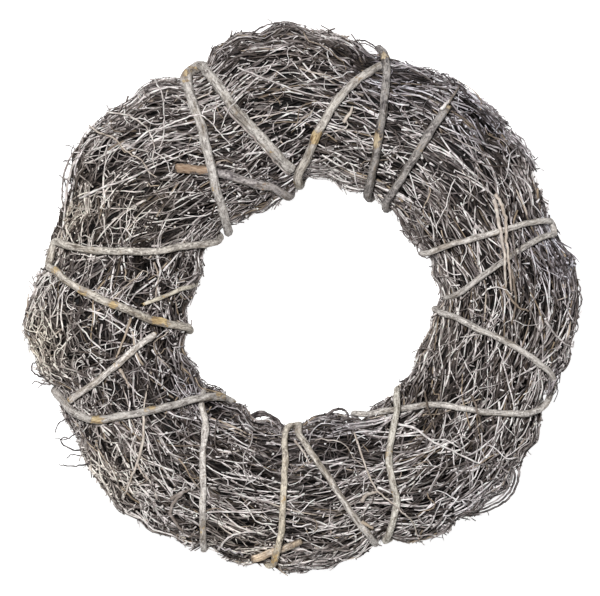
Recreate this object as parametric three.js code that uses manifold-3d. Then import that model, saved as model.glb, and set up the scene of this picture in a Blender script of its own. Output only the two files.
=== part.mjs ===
// A twig wreath: bunches of brushwood bent round into a ring, bound with thicker bent rods.
// Units are millimetres. It lies on its back: +Z is its front, and +Y is the top of the hung wreath.
// A place on the ring is an angle round it (anticlockwise from +X), an angle round its section
// (0 at the outer rim, 90 on the front, 180 at the hole, 270 on the back) and a lift off its surface.
import * as THREE from 'three';
import * as BufferGeometryUtils from 'three/addons/utils/BufferGeometryUtils.js';
import Module from 'manifold-3d';

const wasm = await Module();
wasm.setup();

// Driving dimensions
const ringCentre = { x: 0.4, y: 1.28 };
const middleHeight = 40;
const backInset = 4;
const bunchCount = 12;
const firstCut = 18;
const bunchGap = 0.3;
const rodGap = 0.45;
const seed = 1201;

// The ring's outline where it changes: angle, outer radius, hole radius and thickness front to back.
// It swells between the rods that tie it and is narrow under them.
const ringStations = [
  { angle: 0, outer: 200.5, hole: 94, thick: 76 },
  { angle: 22, outer: 188.5, hole: 90, thick: 71 },
  { angle: 36, outer: 194, hole: 88.5, thick: 76 },
  { angle: 52, outer: 193, hole: 85, thick: 73 },
  { angle: 66, outer: 186.5, hole: 82, thick: 71 },
  { angle: 76, outer: 190, hole: 83.5, thick: 71 },
  { angle: 87, outer: 194.5, hole: 82, thick: 75 },
  { angle: 94, outer: 200.5, hole: 73, thick: 77 },
  { angle: 102, outer: 198.5, hole: 69, thick: 78 },
  { angle: 115, outer: 184.5, hole: 67, thick: 73 },
  { angle: 133, outer: 196, hole: 69, thick: 77 },
  { angle: 146, outer: 198, hole: 71.5, thick: 78 },
  { angle: 160, outer: 190.5, hole: 77, thick: 75 },
  { angle: 170, outer: 188.5, hole: 75.5, thick: 71 },
  { angle: 181, outer: 201, hole: 79, thick: 77 },
  { angle: 192, outer: 203, hole: 80.5, thick: 77 },
  { angle: 203, outer: 192.5, hole: 89, thick: 71 },
  { angle: 226, outer: 201, hole: 89.5, thick: 76 },
  { angle: 248, outer: 198, hole: 90, thick: 72 },
  { angle: 264, outer: 200.5, hole: 89, thick: 74 },
  { angle: 276, outer: 198.5, hole: 85, thick: 75 },
  { angle: 288, outer: 190.5, hole: 86, thick: 71 },
  { angle: 302, outer: 201.5, hole: 93, thick: 76 },
  { angle: 315, outer: 206, hole: 94.5, thick: 77 },
  { angle: 327, outer: 197, hole: 94.5, thick: 74 },
  { angle: 339, outer: 194, hole: 92.5, thick: 71 },
];

// The packed twigs: how many show round a bunch's section, and how they lie
const ridgesAround = 24;
const packedSteps = 3;
const ridgeInset = 0.2;
const ridgeHeight = 4.6;
const ridgeUneven = 1.3;
const ridgeWander = 3;
const ridgeLay = 14;
// A valley's corner in the straight prism, before it is bent, as a share of a ridge's
const valleyShare = 0.9;

// The looser twigs on top of them: where one starts and ends along its bunch, how far its tip rises,
// how far it is scattered round the section, and how far it slants there
const loosePerBunch = 8;
const looseSides = 3;
const looseSteps = 3;
const looseRadius = 2.4;
const looseTipRadius = 1.5;
const looseInset = 3.6;
const looseRoot = [0.1, 0.25];
const looseTip = [0.75, 0.95];
const looseRise = [1, 4];
const looseScatter = 0.35;
const looseSlant = 26;
const looseSlantOnBack = 8;
const backHeight = -0.5;

// Three low spots that the wreath lies on, between the rods on its back
const footAngles = [69, 207, 333];
const footDrop = 16;
const footReach = 9;

// How far a rod squeezes the twigs beside it, and over what width
const pressDepth = 5;
const pressWidth = 16;
const pressPointsPerPlace = 4;

// A rod's lift where it isn't given, and how much deeper it lies where it goes round a rim.
// The power keeps that to the rims.
const rodLift = 1.2;
const rimSink = 3;
const rimPower = 6;
const rodSides = 6;
const stepsPerPlace = 1;

// A chosen place past the rim or the hole's edge is taken as this share of the way to it
const rimShare = 0.995;
const mergeDistance = 1e-3;
const simplifyDistance = 0.01;

const bark = {
  pale: { color: 0x97938e, roughness: 0.85 },
  grey: { color: 0x827c78, roughness: 0.9 },
  orange: { color: 0xa98a6a, roughness: 0.85 },
  cream: { color: 0xa8a08c, roughness: 0.85 },
  brushwood: { color: 0x76706d, roughness: 0.95 },
};

// A place on the front face, measured from the ring's middle
const front = (x, y, lift = rodLift) => ({ x, y, lift });
// A place on any side: angle round the ring, angle round the section
const side = (angle, section, lift = rodLift) => ({ angle, section, lift });

// The binding rods, each a route of chosen places from one end to the other
const rods = [
  {
    name: 'rod_upper_left_hairpin', radius: 3.3, bark: bark.pale,
    route: [
      side(133, 312, 0.6), side(133, 270, 0.6), side(135, 225), side(138, 192),
      front(-54, 48, 1.6), front(-61, 72, 2), front(-67, 96, 3), front(-72, 119, 1.8),
      front(-79, 139), front(-83, 152), front(-83, 162), front(-76, 168), front(-69, 162),
      front(-59, 149), front(-46, 131), front(-33, 118), front(-20, 104), front(-8, 91, -1),
    ],
  },
  {
    name: 'rod_peeled_stub', radius: 2.7, bark: bark.orange,
    route: [
      front(-92, 93), front(-80, 92, -1.6), front(-66, 90, -4.8), front(-51, 86, -1.4),
      front(-34, 82), front(-18, 77), side(96, 192), side(97, 232), side(98, 270, 0.6),
      side(99, 305, 0.6),
    ],
  },
  {
    name: 'rod_top_left', radius: 3.1, bark: bark.pale,
    route: [
      front(59, 172, -5), front(50, 165, -3.6), front(43, 159, -0.4), front(35, 153),
      front(26, 143), front(18, 131), front(10, 118), front(3, 101), front(-3, 87), side(91, 190),
      side(89, 230), side(87, 270, 0.6), side(86, 305, 0.6),
    ],
  },
  {
    name: 'rod_top_right', radius: 3, bark: bark.grey,
    route: [
      side(69, 318, -0.4), side(71, 345, -0.5), front(55, 181, 1.8), front(59, 172, 2.4),
      front(60, 157, 1.6), front(58, 139), front(55, 115), front(51, 93), side(56, 185),
      side(56, 228), side(57, 268, 0.6),
    ],
  },
  {
    name: 'rod_broken', radius: 3, bark: bark.grey,
    route: [
      front(104, 137, -1.5), front(95, 125, 0.6), front(89, 114), front(78, 97), front(68, 81),
      side(47, 178), side(45, 222), side(43, 262, 0.6), side(43, 296, 0.6),
    ],
  },
  {
    name: 'rod_right_hairpin', radius: 2.3, bark: bark.pale,
    route: [
      side(24, 300, 0.6), side(24, 262, 0.6), side(22, 220), side(20, 182), front(108, 38),
      front(129, 44), front(151, 50), front(173, 55), front(181, 53), front(183, 47, 0.2),
      front(174, 44), front(163, 38), front(147, 28), front(128, 14), front(110, 2), side(0, 186),
      side(0, 228), side(1, 268, 0.6),
    ],
  },
  {
    name: 'rod_lower_right', radius: 2.4, bark: bark.pale,
    route: [
      side(354, 300, 0.6), side(354, 262, 0.6), side(354, 222), side(355, 184), front(110, -15),
      front(131, -25), front(151, -35), front(168, -46), front(179, -56), side(341, 14),
      side(339.5, -4), side(337, 8), front(171, -81), front(157, -84), front(135, -83),
      front(108, -79, 0.8), front(88, -77, -2.6), front(69, -77, -5.4), front(58, -79, -3),
      side(295, 182, -0.5), side(294, 225), side(295, 262, 0.6),
    ],
  },
  {
    name: 'rod_bottom_right', radius: 2.6, bark: bark.cream,
    route: [
      side(311, 292, 0.6), side(312, 255, 0.6), side(314, 215), side(316, 182, 2),
      front(69, -80, 2.8), front(65, -96, 1.6), front(62, -114), front(64, -131), front(67, -147),
      front(65, -161), front(60, -177), side(289.5, 0), side(290, 322, -0.4),
    ],
  },
  {
    name: 'rod_bottom_hairpin', radius: 2.5, bark: bark.cream,
    route: [
      front(53, -179), front(43, -166), front(30, -148), front(17, -128), front(5, -111),
      front(-3, -99), side(268.3, 168, 0.8), side(266.3, 178, 1), side(264.2, 168, 0.8),
      front(-13, -102), front(-13, -117), front(-14, -140), front(-15, -161, 1.8),
      front(-18, -180, 2.4), side(263.5, 22, 2.4), side(262, 352, 0.5), side(262, 318, -0.4),
    ],
  },
  {
    name: 'rod_bottom_stub', radius: 2.6, bark: bark.orange,
    route: [
      front(-35, -191, -2.4), front(-24, -187, -4.2), front(-12, -183, -4.8),
      front(-1, -178, -3.2),
    ],
  },
  {
    name: 'rod_bottom_left', radius: 2.4, bark: bark.pale,
    route: [
      side(222, 300, 0.6), side(221, 262, 0.6), side(220, 222, -3), side(222, 184, -4.8),
      front(-71, -74, -5.2), front(-70, -88, -3), front(-71, -100, 0.6), front(-72, -111),
      front(-72, -132), front(-72, -158), front(-72, -177), side(248.5, 4), side(249, 322, -0.4),
    ],
  },
  {
    name: 'rod_frayed', radius: 3, bark: bark.pale,
    route: [
      side(235.5, 178, 1), front(-71, -73, 1.8), front(-90, -77), front(-111, -82),
      front(-131, -86), front(-150, -88), front(-166, -83), side(203, 16), side(200.5, 352),
      side(201, 318, -0.4),
    ],
  },
  {
    name: 'rod_left_short', radius: 2.5, bark: bark.grey,
    route: [
      front(-168, -75), front(-153, -64), front(-132, -47), front(-114, -32, 0.4),
      front(-106, -26, -2),
    ],
  },
  {
    name: 'rod_left_hairpin', radius: 2.8, bark: bark.pale,
    route: [
      side(189, 292, 0.6), side(190, 255, 0.6), side(193, 215), side(196.5, 182),
      front(-105, -18), front(-127, -9), front(-147, -1), front(-166, 9), front(-177, 18),
      front(-184, 28, 0.8), front(-181, 38), front(-170, 37), front(-154, 34), front(-132, 33),
      front(-108, 33), front(-83, 37), side(145.5, 178), side(143, 222), side(141.5, 262, 0.6),
      side(141.5, 296, 0.6),
    ],
  },
  {
    name: 'rod_thin', radius: 1.7, bark: bark.grey,
    route: [
      front(-114, -3, 0.2), front(-101, 1), front(-89, 6), side(173, 176), side(172, 205),
    ],
  },
];

function seededRandom(start) {
  let state = start;
  return () => {
    state = (state + 0x6d2b79f5) | 0;
    let mixed = Math.imul(state ^ (state >>> 15), 1 | state);
    mixed = (mixed + Math.imul(mixed ^ (mixed >>> 7), 61 | mixed)) ^ mixed;
    return ((mixed ^ (mixed >>> 14)) >>> 0) / 4294967296;
  };
}

const random = seededRandom(seed);
const spread = (width) => (random() - 0.5) * 2 * width;
const between = ([least, most]) => THREE.MathUtils.lerp(least, most, random());
const radians = THREE.MathUtils.degToRad;
const fullTurn = 360;

// The ring's middle radius, half width and half thickness at an angle, smooth between the stations
function ringAt(angle) {
  const turned = THREE.MathUtils.euclideanModulo(angle, fullTurn);
  let before = ringStations.length - 1;
  ringStations.forEach((station, index) => {
    if (station.angle <= turned) before = index;
  });
  const from = ringStations[before];
  const to = ringStations[(before + 1) % ringStations.length];
  const span = THREE.MathUtils.euclideanModulo(to.angle - from.angle, fullTurn);
  const along = THREE.MathUtils.euclideanModulo(turned - from.angle, fullTurn) / span;
  const blend = THREE.MathUtils.smoothstep(along, 0, 1);
  const value = (key) => THREE.MathUtils.lerp(from[key], to[key], blend);
  return {
    middle: (value('outer') + value('hole')) / 2,
    halfWidth: (value('outer') - value('hole')) / 2,
    halfThickness: value('thick') / 2,
  };
}

// A point of the ring's surface, lifted off it
function surfacePoint(angle, section, lift) {
  const ring = ringAt(angle);
  const across = Math.cos(radians(section));
  const up = Math.sin(radians(section));
  const deep = ring.halfThickness - (up < 0 ? backInset : 0);
  const outward = new THREE.Vector2(across / ring.halfWidth, up / deep).normalize();
  const radius = ring.middle + ring.halfWidth * across + outward.x * lift;
  const height = middleHeight + deep * up + outward.y * lift;
  return new THREE.Vector3(radius * Math.cos(radians(angle)), radius * Math.sin(radians(angle)), height);
}

// A chosen place as angle, section angle and lift
function toStation(place) {
  if (place.section !== undefined) return new THREE.Vector3(place.angle, place.section, place.lift);
  const angle = THREE.MathUtils.radToDeg(Math.atan2(place.y, place.x));
  const ring = ringAt(angle);
  const across = (Math.hypot(place.x, place.y) - ring.middle) / ring.halfWidth;
  const onFront = THREE.MathUtils.clamp(across, -rimShare, rimShare);
  return new THREE.Vector3(angle, THREE.MathUtils.radToDeg(Math.acos(onFront)), place.lift);
}

// Angles are kept within half a turn of the place before, so that a route never jumps round the ring
function unwrap(stations) {
  stations.slice(1).forEach((station, index) => {
    const last = stations[index];
    const nearer = (value, near) => value - fullTurn * Math.round((value - near) / fullTurn);
    station.x = nearer(station.x, last.x);
    station.y = nearer(station.y, last.y);
  });
  return stations;
}

// A route over the ring's surface, with as many steps between one pair of places as between any other.
// Its frames stand straight off the surface, so that a rod lies on one of its flat sides.
class SurfaceCurve extends THREE.Curve {
  constructor(places, sink = 0) {
    super();
    this.route = new THREE.CatmullRomCurve3(unwrap(places.map(toStation)), false, 'centripetal');
    this.sink = sink;
  }

  getPoint(t, _, higher = 0) {
    const station = this.route.getPoint(t);
    const sunk = this.sink * Math.cos(radians(station.y)) ** rimPower;
    return surfacePoint(station.x, station.y, station.z - sunk + higher);
  }

  getUtoTmapping(u) {
    return u;
  }

  computeFrenetFrames(steps) {
    const frames = { tangents: [], normals: [], binormals: [] };
    for (let i = 0; i <= steps; i += 1) {
      const tangent = this.getTangent(i / steps);
      const normal = this.getPoint(i / steps, null, 1).sub(this.getPoint(i / steps));
      const binormal = new THREE.Vector3().crossVectors(tangent, normal).normalize();
      frames.tangents.push(tangent);
      frames.binormals.push(binormal);
      frames.normals.push(normal.crossVectors(binormal, tangent));
    }
    return frames;
  }
}

// The corners of a rod's or twig's section: a rod's flat or a twig's flat lies against the surface
function sectionShape(sides) {
  const corners = [];
  const first = sides % 2 === 0 ? 0.5 : 0;
  for (let i = 0; i < sides; i += 1) {
    const turn = ((i + first) * 2 * Math.PI) / sides;
    corners.push(new THREE.Vector2(Math.cos(turn), Math.sin(turn)));
  }
  return new THREE.Shape(corners);
}

// A rod or twig along a curve, with flat sides and a radius that may change along it
function stick(curve, steps, sides, radiusAt, longer = 0) {
  const options = { steps, bevelEnabled: false, extrudePath: curve };
  const geometry = new THREE.ExtrudeGeometry(sectionShape(sides), options);
  const centres = curve.getSpacedPoints(steps);
  const position = geometry.getAttribute('position');
  const corner = new THREE.Vector3();
  for (let i = 0; i < position.count; i += 1) {
    corner.fromBufferAttribute(position, i);
    let nearest = 0;
    centres.forEach((centre, index) => {
      if (corner.distanceTo(centre) < corner.distanceTo(centres[nearest])) nearest = index;
    });
    corner.sub(centres[nearest]).multiplyScalar(radiusAt(nearest / steps)).add(centres[nearest]);
    if (nearest === 0) corner.addScaledVector(curve.getTangentAt(0), -longer);
    if (nearest === steps) corner.addScaledVector(curve.getTangentAt(1), longer);
    position.setXYZ(i, corner.x, corner.y, corner.z);
  }
  return geometry;
}

function toSolid(geometry) {
  const plain = new THREE.BufferGeometry();
  plain.setAttribute('position', geometry.getAttribute('position'));
  const merged = BufferGeometryUtils.mergeVertices(plain, mergeDistance);
  return new wasm.Manifold(new wasm.Mesh({
    numProp: 3,
    vertProperties: new Float32Array(merged.getAttribute('position').array),
    triVerts: new Uint32Array(merged.index.array),
  }));
}

function toGeometry(solid) {
  const mesh = solid.getMesh();
  const geometry = new THREE.BufferGeometry();
  geometry.setAttribute('position', new THREE.BufferAttribute(mesh.vertProperties, 3));
  geometry.setIndex(new THREE.BufferAttribute(mesh.triVerts, 1));
  return geometry;
}

function rodSolid(rod, gap) {
  const curve = new SurfaceCurve(rod.route, rimSink);
  const steps = (rod.route.length - 1) * stepsPerPlace;
  return toSolid(stick(curve, steps, rodSides, () => rod.radius + gap, gap));
}

// Points along every rod, where the twigs are pressed in
const pressPoints = rods.flatMap((rod) => (
  new SurfaceCurve(rod.route, rimSink).getSpacedPoints(rod.route.length * pressPointsPerPlace)
));

function pressAt(point) {
  const nearest = Math.min(...pressPoints.map((rodPoint) => rodPoint.distanceToSquared(point)));
  return pressDepth * Math.exp(-nearest / pressWidth ** 2);
}

// How far the twigs stand down at the low spots on the back
function footAt(angle, section) {
  const back = Math.max(0, -Math.sin(radians(section))) ** 3;
  const near = footAngles.map((foot) => {
    const apart = THREE.MathUtils.euclideanModulo(angle - foot + fullTurn / 2, fullTurn) - fullTurn / 2;
    return Math.exp(-((apart / footReach) ** 2));
  });
  return footDrop * back * Math.max(...near);
}

// The lift of the twigs' own surface: pressed in beside the rods, let down at the low spots
function twigLift(angle, section) {
  return footAt(angle, section) - pressAt(surfacePoint(angle, section, 0));
}

// The packed twigs of a bunch: a many-sided prism bent round onto the ring, with a ridge for each twig.
// A ridge wanders a little and changes in height along the bunch, as a crooked twig does.
function packedTwigs(start, end) {
  const cornerCount = ridgesAround * 2;
  const corners = [];
  const wander = [];
  for (let i = 0; i < cornerCount; i += 1) {
    const turn = (i * 2 * Math.PI) / cornerCount;
    const isRidge = i % 2 === 0;
    const radius = isRidge ? 1 : valleyShare;
    corners.push(new THREE.Vector2(radius * Math.cos(turn), radius * Math.sin(turn)));
    const steps = Array.from({ length: packedSteps + 1 }, () => ({
      around: isRidge ? spread(ridgeWander) : 0,
      lift: isRidge ? spread(ridgeUneven) : -ridgeHeight,
    }));
    wander.push(steps);
  }
  const prism = new THREE.ExtrudeGeometry(
    new THREE.Shape(corners),
    { depth: 1, steps: packedSteps, bevelEnabled: false },
  );
  const lay = spread(ridgeLay);
  const position = prism.getAttribute('position');
  for (let i = 0; i < position.count; i += 1) {
    const turn = THREE.MathUtils.radToDeg(Math.atan2(position.getY(i), position.getX(i)));
    const turned = Math.round((turn * cornerCount) / fullTurn);
    const corner = THREE.MathUtils.euclideanModulo(turned, cornerCount);
    const along = position.getZ(i);
    const { around, lift } = wander[corner][Math.round(along * packedSteps)];
    const angle = THREE.MathUtils.lerp(end, start, along);
    const section = turn + around + lay * (along - 0.5);
    const point = surfacePoint(angle, section, lift - ridgeInset + twigLift(angle, section));
    // Each end stands back by half the gap between two bunches
    const standBack = (along === 1 ? bunchGap : 0) / 2 - (along === 0 ? bunchGap : 0) / 2;
    point.x -= standBack * Math.sin(radians(angle));
    point.y += standBack * Math.cos(radians(angle));
    position.setXYZ(i, point.x, point.y, point.z);
  }
  return toSolid(prism);
}

// A twig on top of the packed ones, sunk well in along most of its length, with its tip standing out
function looseTwig(start, end, section, slant, tipLift) {
  const places = [];
  for (let i = 0; i <= looseSteps; i += 1) {
    const along = i / looseSteps;
    const angle = THREE.MathUtils.lerp(start, end, along);
    const around = section + slant * along;
    const lift = tipLift * along ** 3 - looseInset + twigLift(angle, around);
    places.push(side(angle, around, lift));
  }
  const radiusAt = (along) => THREE.MathUtils.lerp(looseRadius, looseTipRadius, along);
  return toSolid(stick(new SurfaceCurve(places), looseSteps, looseSides, radiusAt));
}

function looseTwigs(start, end) {
  const twigs = [];
  for (let i = 0; i < loosePerBunch; i += 1) {
    const section = ((i + spread(looseScatter)) * fullTurn) / loosePerBunch;
    const onBack = Math.sin(radians(section)) < backHeight;
    const slant = spread(onBack ? looseSlantOnBack : looseSlant);
    const rise = onBack ? looseInset : looseInset + between(looseRise);
    const from = between(looseRoot);
    const to = between(looseTip);
    const [root, tip] = random() < 0.5 ? [from, to] : [1 - from, 1 - to];
    twigs.push(looseTwig(
      THREE.MathUtils.lerp(start, end, root),
      THREE.MathUtils.lerp(start, end, tip),
      section,
      slant,
      rise,
    ));
  }
  return twigs;
}

function largestPiece(solid) {
  return solid.decompose().reduce((best, piece) => (piece.volume() > best.volume() ? piece : best));
}

// A bunch, with the rods' beds cut into it and its underside level where it lies on the ground
function bunchSolid(start, end, beds) {
  let bunch = wasm.Manifold.union([packedTwigs(start, end), ...looseTwigs(start, end)]);
  beds.forEach((bed) => {
    bunch = bunch.subtract(bed);
  });
  return largestPiece(bunch.trimByPlane([0, 0, 1], 0)).simplify(simplifyDistance);
}

function addMesh(group, name, geometry, look) {
  const mesh = new THREE.Mesh(geometry, new THREE.MeshStandardMaterial({ ...look, metalness: 0 }));
  mesh.name = name;
  group.add(mesh);
}

const wreath = new THREE.Group();
wreath.position.set(ringCentre.x, ringCentre.y, 0);

const beds = rods.map((rod) => rodSolid(rod, rodGap));
for (let i = 0; i < bunchCount; i += 1) {
  const start = firstCut + (i * fullTurn) / bunchCount;
  const solid = bunchSolid(start, start + fullTurn / bunchCount, beds);
  addMesh(wreath, `bunch_${String(i + 1).padStart(2, '0')}`, toGeometry(solid), bark.brushwood);
}
rods.forEach((rod) => addMesh(wreath, rod.name, toGeometry(rodSolid(rod, 0)), rod.bark));

export default wreath;
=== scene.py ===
# A twig wreath that lies on its back on a pale floor, seen from straight above.
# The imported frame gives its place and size. The fine twigs and the barked rods are made here.
# Sizes are in millimetres where mm stands beside them, and angles round the ring are in degrees.
import math
import bpy
import numpy as np
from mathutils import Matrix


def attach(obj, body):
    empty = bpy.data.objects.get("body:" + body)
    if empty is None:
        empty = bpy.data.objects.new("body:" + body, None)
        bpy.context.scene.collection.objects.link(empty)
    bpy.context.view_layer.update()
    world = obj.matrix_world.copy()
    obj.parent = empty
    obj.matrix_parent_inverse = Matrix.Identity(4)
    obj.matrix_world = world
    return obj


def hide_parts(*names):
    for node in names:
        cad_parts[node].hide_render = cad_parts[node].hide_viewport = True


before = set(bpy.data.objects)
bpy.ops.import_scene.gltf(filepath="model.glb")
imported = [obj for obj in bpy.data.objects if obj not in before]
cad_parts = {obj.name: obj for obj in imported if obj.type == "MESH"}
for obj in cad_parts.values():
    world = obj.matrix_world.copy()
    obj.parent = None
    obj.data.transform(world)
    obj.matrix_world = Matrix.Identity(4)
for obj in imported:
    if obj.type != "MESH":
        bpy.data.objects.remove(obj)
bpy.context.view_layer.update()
mm = 0.001
draw = np.random.default_rng(4117)  # every random number comes from here

# The photograph's frame, for the camera
photo = {
    "width": 600, "height": 596,  # pixels
    "pixel": 0.7233,  # mm of the wreath that one pixel covers
    "ringX": 303, "ringY": 297,  # the ring's middle, in pixels
}

# The ring that the solids are built on
ring = {
    "centre": (0.4, 1.28), "height": 40, "backInset": 4,
    "rodLift": 1.2,  # how far off the surface a rod's middle lies, where nothing else is said
    # rods press the twigs in: how deep, how much deeper for each mm that a rod lies lower, and how wide
    "pressDepth": 1.7, "pressFollow": 0.85, "pressWidth": 12,
    "rimSink": 3,  # how much deeper a rod lies where it goes round a rim
    "footAngles": (69, 207, 333), "footDrop": 16, "footReach": 9,
    # angle, outer radius, hole radius, thickness
    "stations": [
        (0, 200.5, 94, 76), (22, 188.5, 90, 71), (36, 194, 88.5, 76), (52, 193, 85, 73),
        (66, 186.5, 82, 71), (76, 190, 83.5, 71), (87, 194.5, 82, 75), (94, 200.5, 73, 77),
        (102, 198.5, 69, 78), (115, 184.5, 67, 73), (133, 196, 69, 77), (146, 198, 71.5, 78),
        (160, 190.5, 77, 75), (170, 188.5, 75.5, 71), (181, 201, 79, 77), (192, 203, 80.5, 77),
        (203, 192.5, 89, 71), (226, 201, 89.5, 76), (248, 198, 90, 72), (264, 200.5, 89, 74),
        (276, 198.5, 85, 75), (288, 190.5, 86, 71), (302, 201.5, 93, 76), (315, 206, 94.5, 77),
        (327, 197, 94.5, 74), (339, 194, 92.5, 71),
    ],
    "bunches": 12, "firstCut": 18,
}

stations = np.array(ring["stations"], float)


# Middle radius, half width and half thickness of the ring at each angle
def ringAt(angle):
    turned = np.mod(angle, 360)
    before = np.searchsorted(stations[:, 0], turned, side="right") - 1
    after = (before + 1) % len(stations)
    span = np.mod(stations[after, 0] - stations[before, 0], 360)
    along = np.mod(turned - stations[before, 0], 360) / span
    blend = (along * along * (3 - 2 * along))[..., None]
    outer, hole, thick = np.moveaxis((1 - blend) * stations[before, 1:] + blend * stations[after, 1:], -1, 0)
    return (outer + hole) / 2, (outer - hole) / 2, thick / 2


# Points of the ring's surface in metres: angle round the ring, angle round its section
# (0 outer rim, 90 front, 180 hole, 270 back) and a lift off the surface in mm
def surfacePoints(angle, section, lift):
    angle, section, lift = np.broadcast_arrays(*(np.asarray(v, float) for v in (angle, section, lift)))
    middle, halfWidth, halfThick = ringAt(angle)
    across, up = np.cos(np.radians(section)), np.sin(np.radians(section))
    deep = halfThick - np.where(up < 0, ring["backInset"], 0)
    outX, outZ = across / halfWidth, up / deep
    size = np.hypot(outX, outZ)
    radius = middle + halfWidth * across + outX / size * lift
    height = ring["height"] + deep * up + outZ / size * lift
    x = ring["centre"][0] + radius * np.cos(np.radians(angle))
    y = ring["centre"][1] + radius * np.sin(np.radians(angle))
    return np.stack([x, y, height], -1) * mm


# A place on the front, in mm from the ring's middle
def front(x, y, lift=ring["rodLift"]):
    angle = math.degrees(math.atan2(y, x))
    middle, halfWidth, _ = ringAt(np.array(angle))
    across = np.clip((math.hypot(x, y) - middle) / halfWidth, -0.995, 0.995)
    return (angle, math.degrees(math.acos(across)), lift)


# A place on any side
def side(angle, section, lift=ring["rodLift"]):
    return (angle, section, lift)


# Stretches of a route
def onFront(*places):
    return [front(*place) for place in places]


def onSide(*places):
    return [side(*place) for place in places]


# The curve through chosen places that the solids' rods follow, as angle, section and lift
def smoothRoute(places, steps):
    route = np.array(places, float)
    for i in range(1, len(route)):  # no jump round the ring or its section
        route[i, :2] -= 360 * np.round((route[i, :2] - route[i - 1, :2]) / 360)
    route = np.vstack([2 * route[0] - route[1], route, 2 * route[-1] - route[-2]])
    t = np.linspace(0, 1, steps, endpoint=False)[:, None]
    pieces = []
    for p0, p1, p2, p3 in zip(route, route[1:], route[2:], route[3:]):
        d0, d1, d2 = (max(np.linalg.norm(b - a), 1e-6) ** 0.5 for a, b in ((p0, p1), (p1, p2), (p2, p3)))
        leave = ((p1 - p0) / d0 - (p2 - p0) / (d0 + d1)) * d1 + (p2 - p1)
        arrive = ((p3 - p2) / d2 - (p3 - p1) / (d1 + d2)) * d1 + (p2 - p1)
        pieces.append(p1 + leave * t + (3 * (p2 - p1) - 2 * leave - arrive) * t**2
                      + (2 * (p1 - p2) + leave + arrive) * t**3)
    smooth = np.vstack([*pieces, route[-2:-1]])
    smooth[:, 2] -= ring["rimSink"] * np.cos(np.radians(smooth[:, 1])) ** 6
    return smooth


# Distance along a line of points
def lengthAlong(points):
    return np.concatenate([[0], np.cumsum(np.linalg.norm(np.diff(points, axis=0), axis=1))])


# Values that wander smoothly between -1 and 1 along a length: waves of random phase, each one
# 1.7 times shorter and 1.4 times weaker than the one before
def wander(along, wave, waves=3):
    total = np.zeros_like(along)
    for k in range(waves):
        total += np.sin(along / wave * 2 * math.pi * 1.7**k + draw.uniform(0, 2 * math.pi)) / 1.4**k
    return total / 2


# Camera
cameraLook = {"distance": 8.0, "sensor": 36}

camera = bpy.data.objects.new("camera", bpy.data.cameras.new("camera"))
bpy.context.scene.collection.objects.link(camera)
bpy.context.scene.camera = camera
camera.location = (
    (ring["centre"][0] + (photo["width"] / 2 - photo["ringX"]) * photo["pixel"]) * mm,
    (ring["centre"][1] - (photo["height"] / 2 - photo["ringY"]) * photo["pixel"]) * mm,
    ring["height"] * mm + cameraLook["distance"],
)
camera.data.sensor_width = cameraLook["sensor"]
camera.data.lens = cameraLook["sensor"] * cameraLook["distance"] / (photo["width"] * photo["pixel"] * mm)

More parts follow.
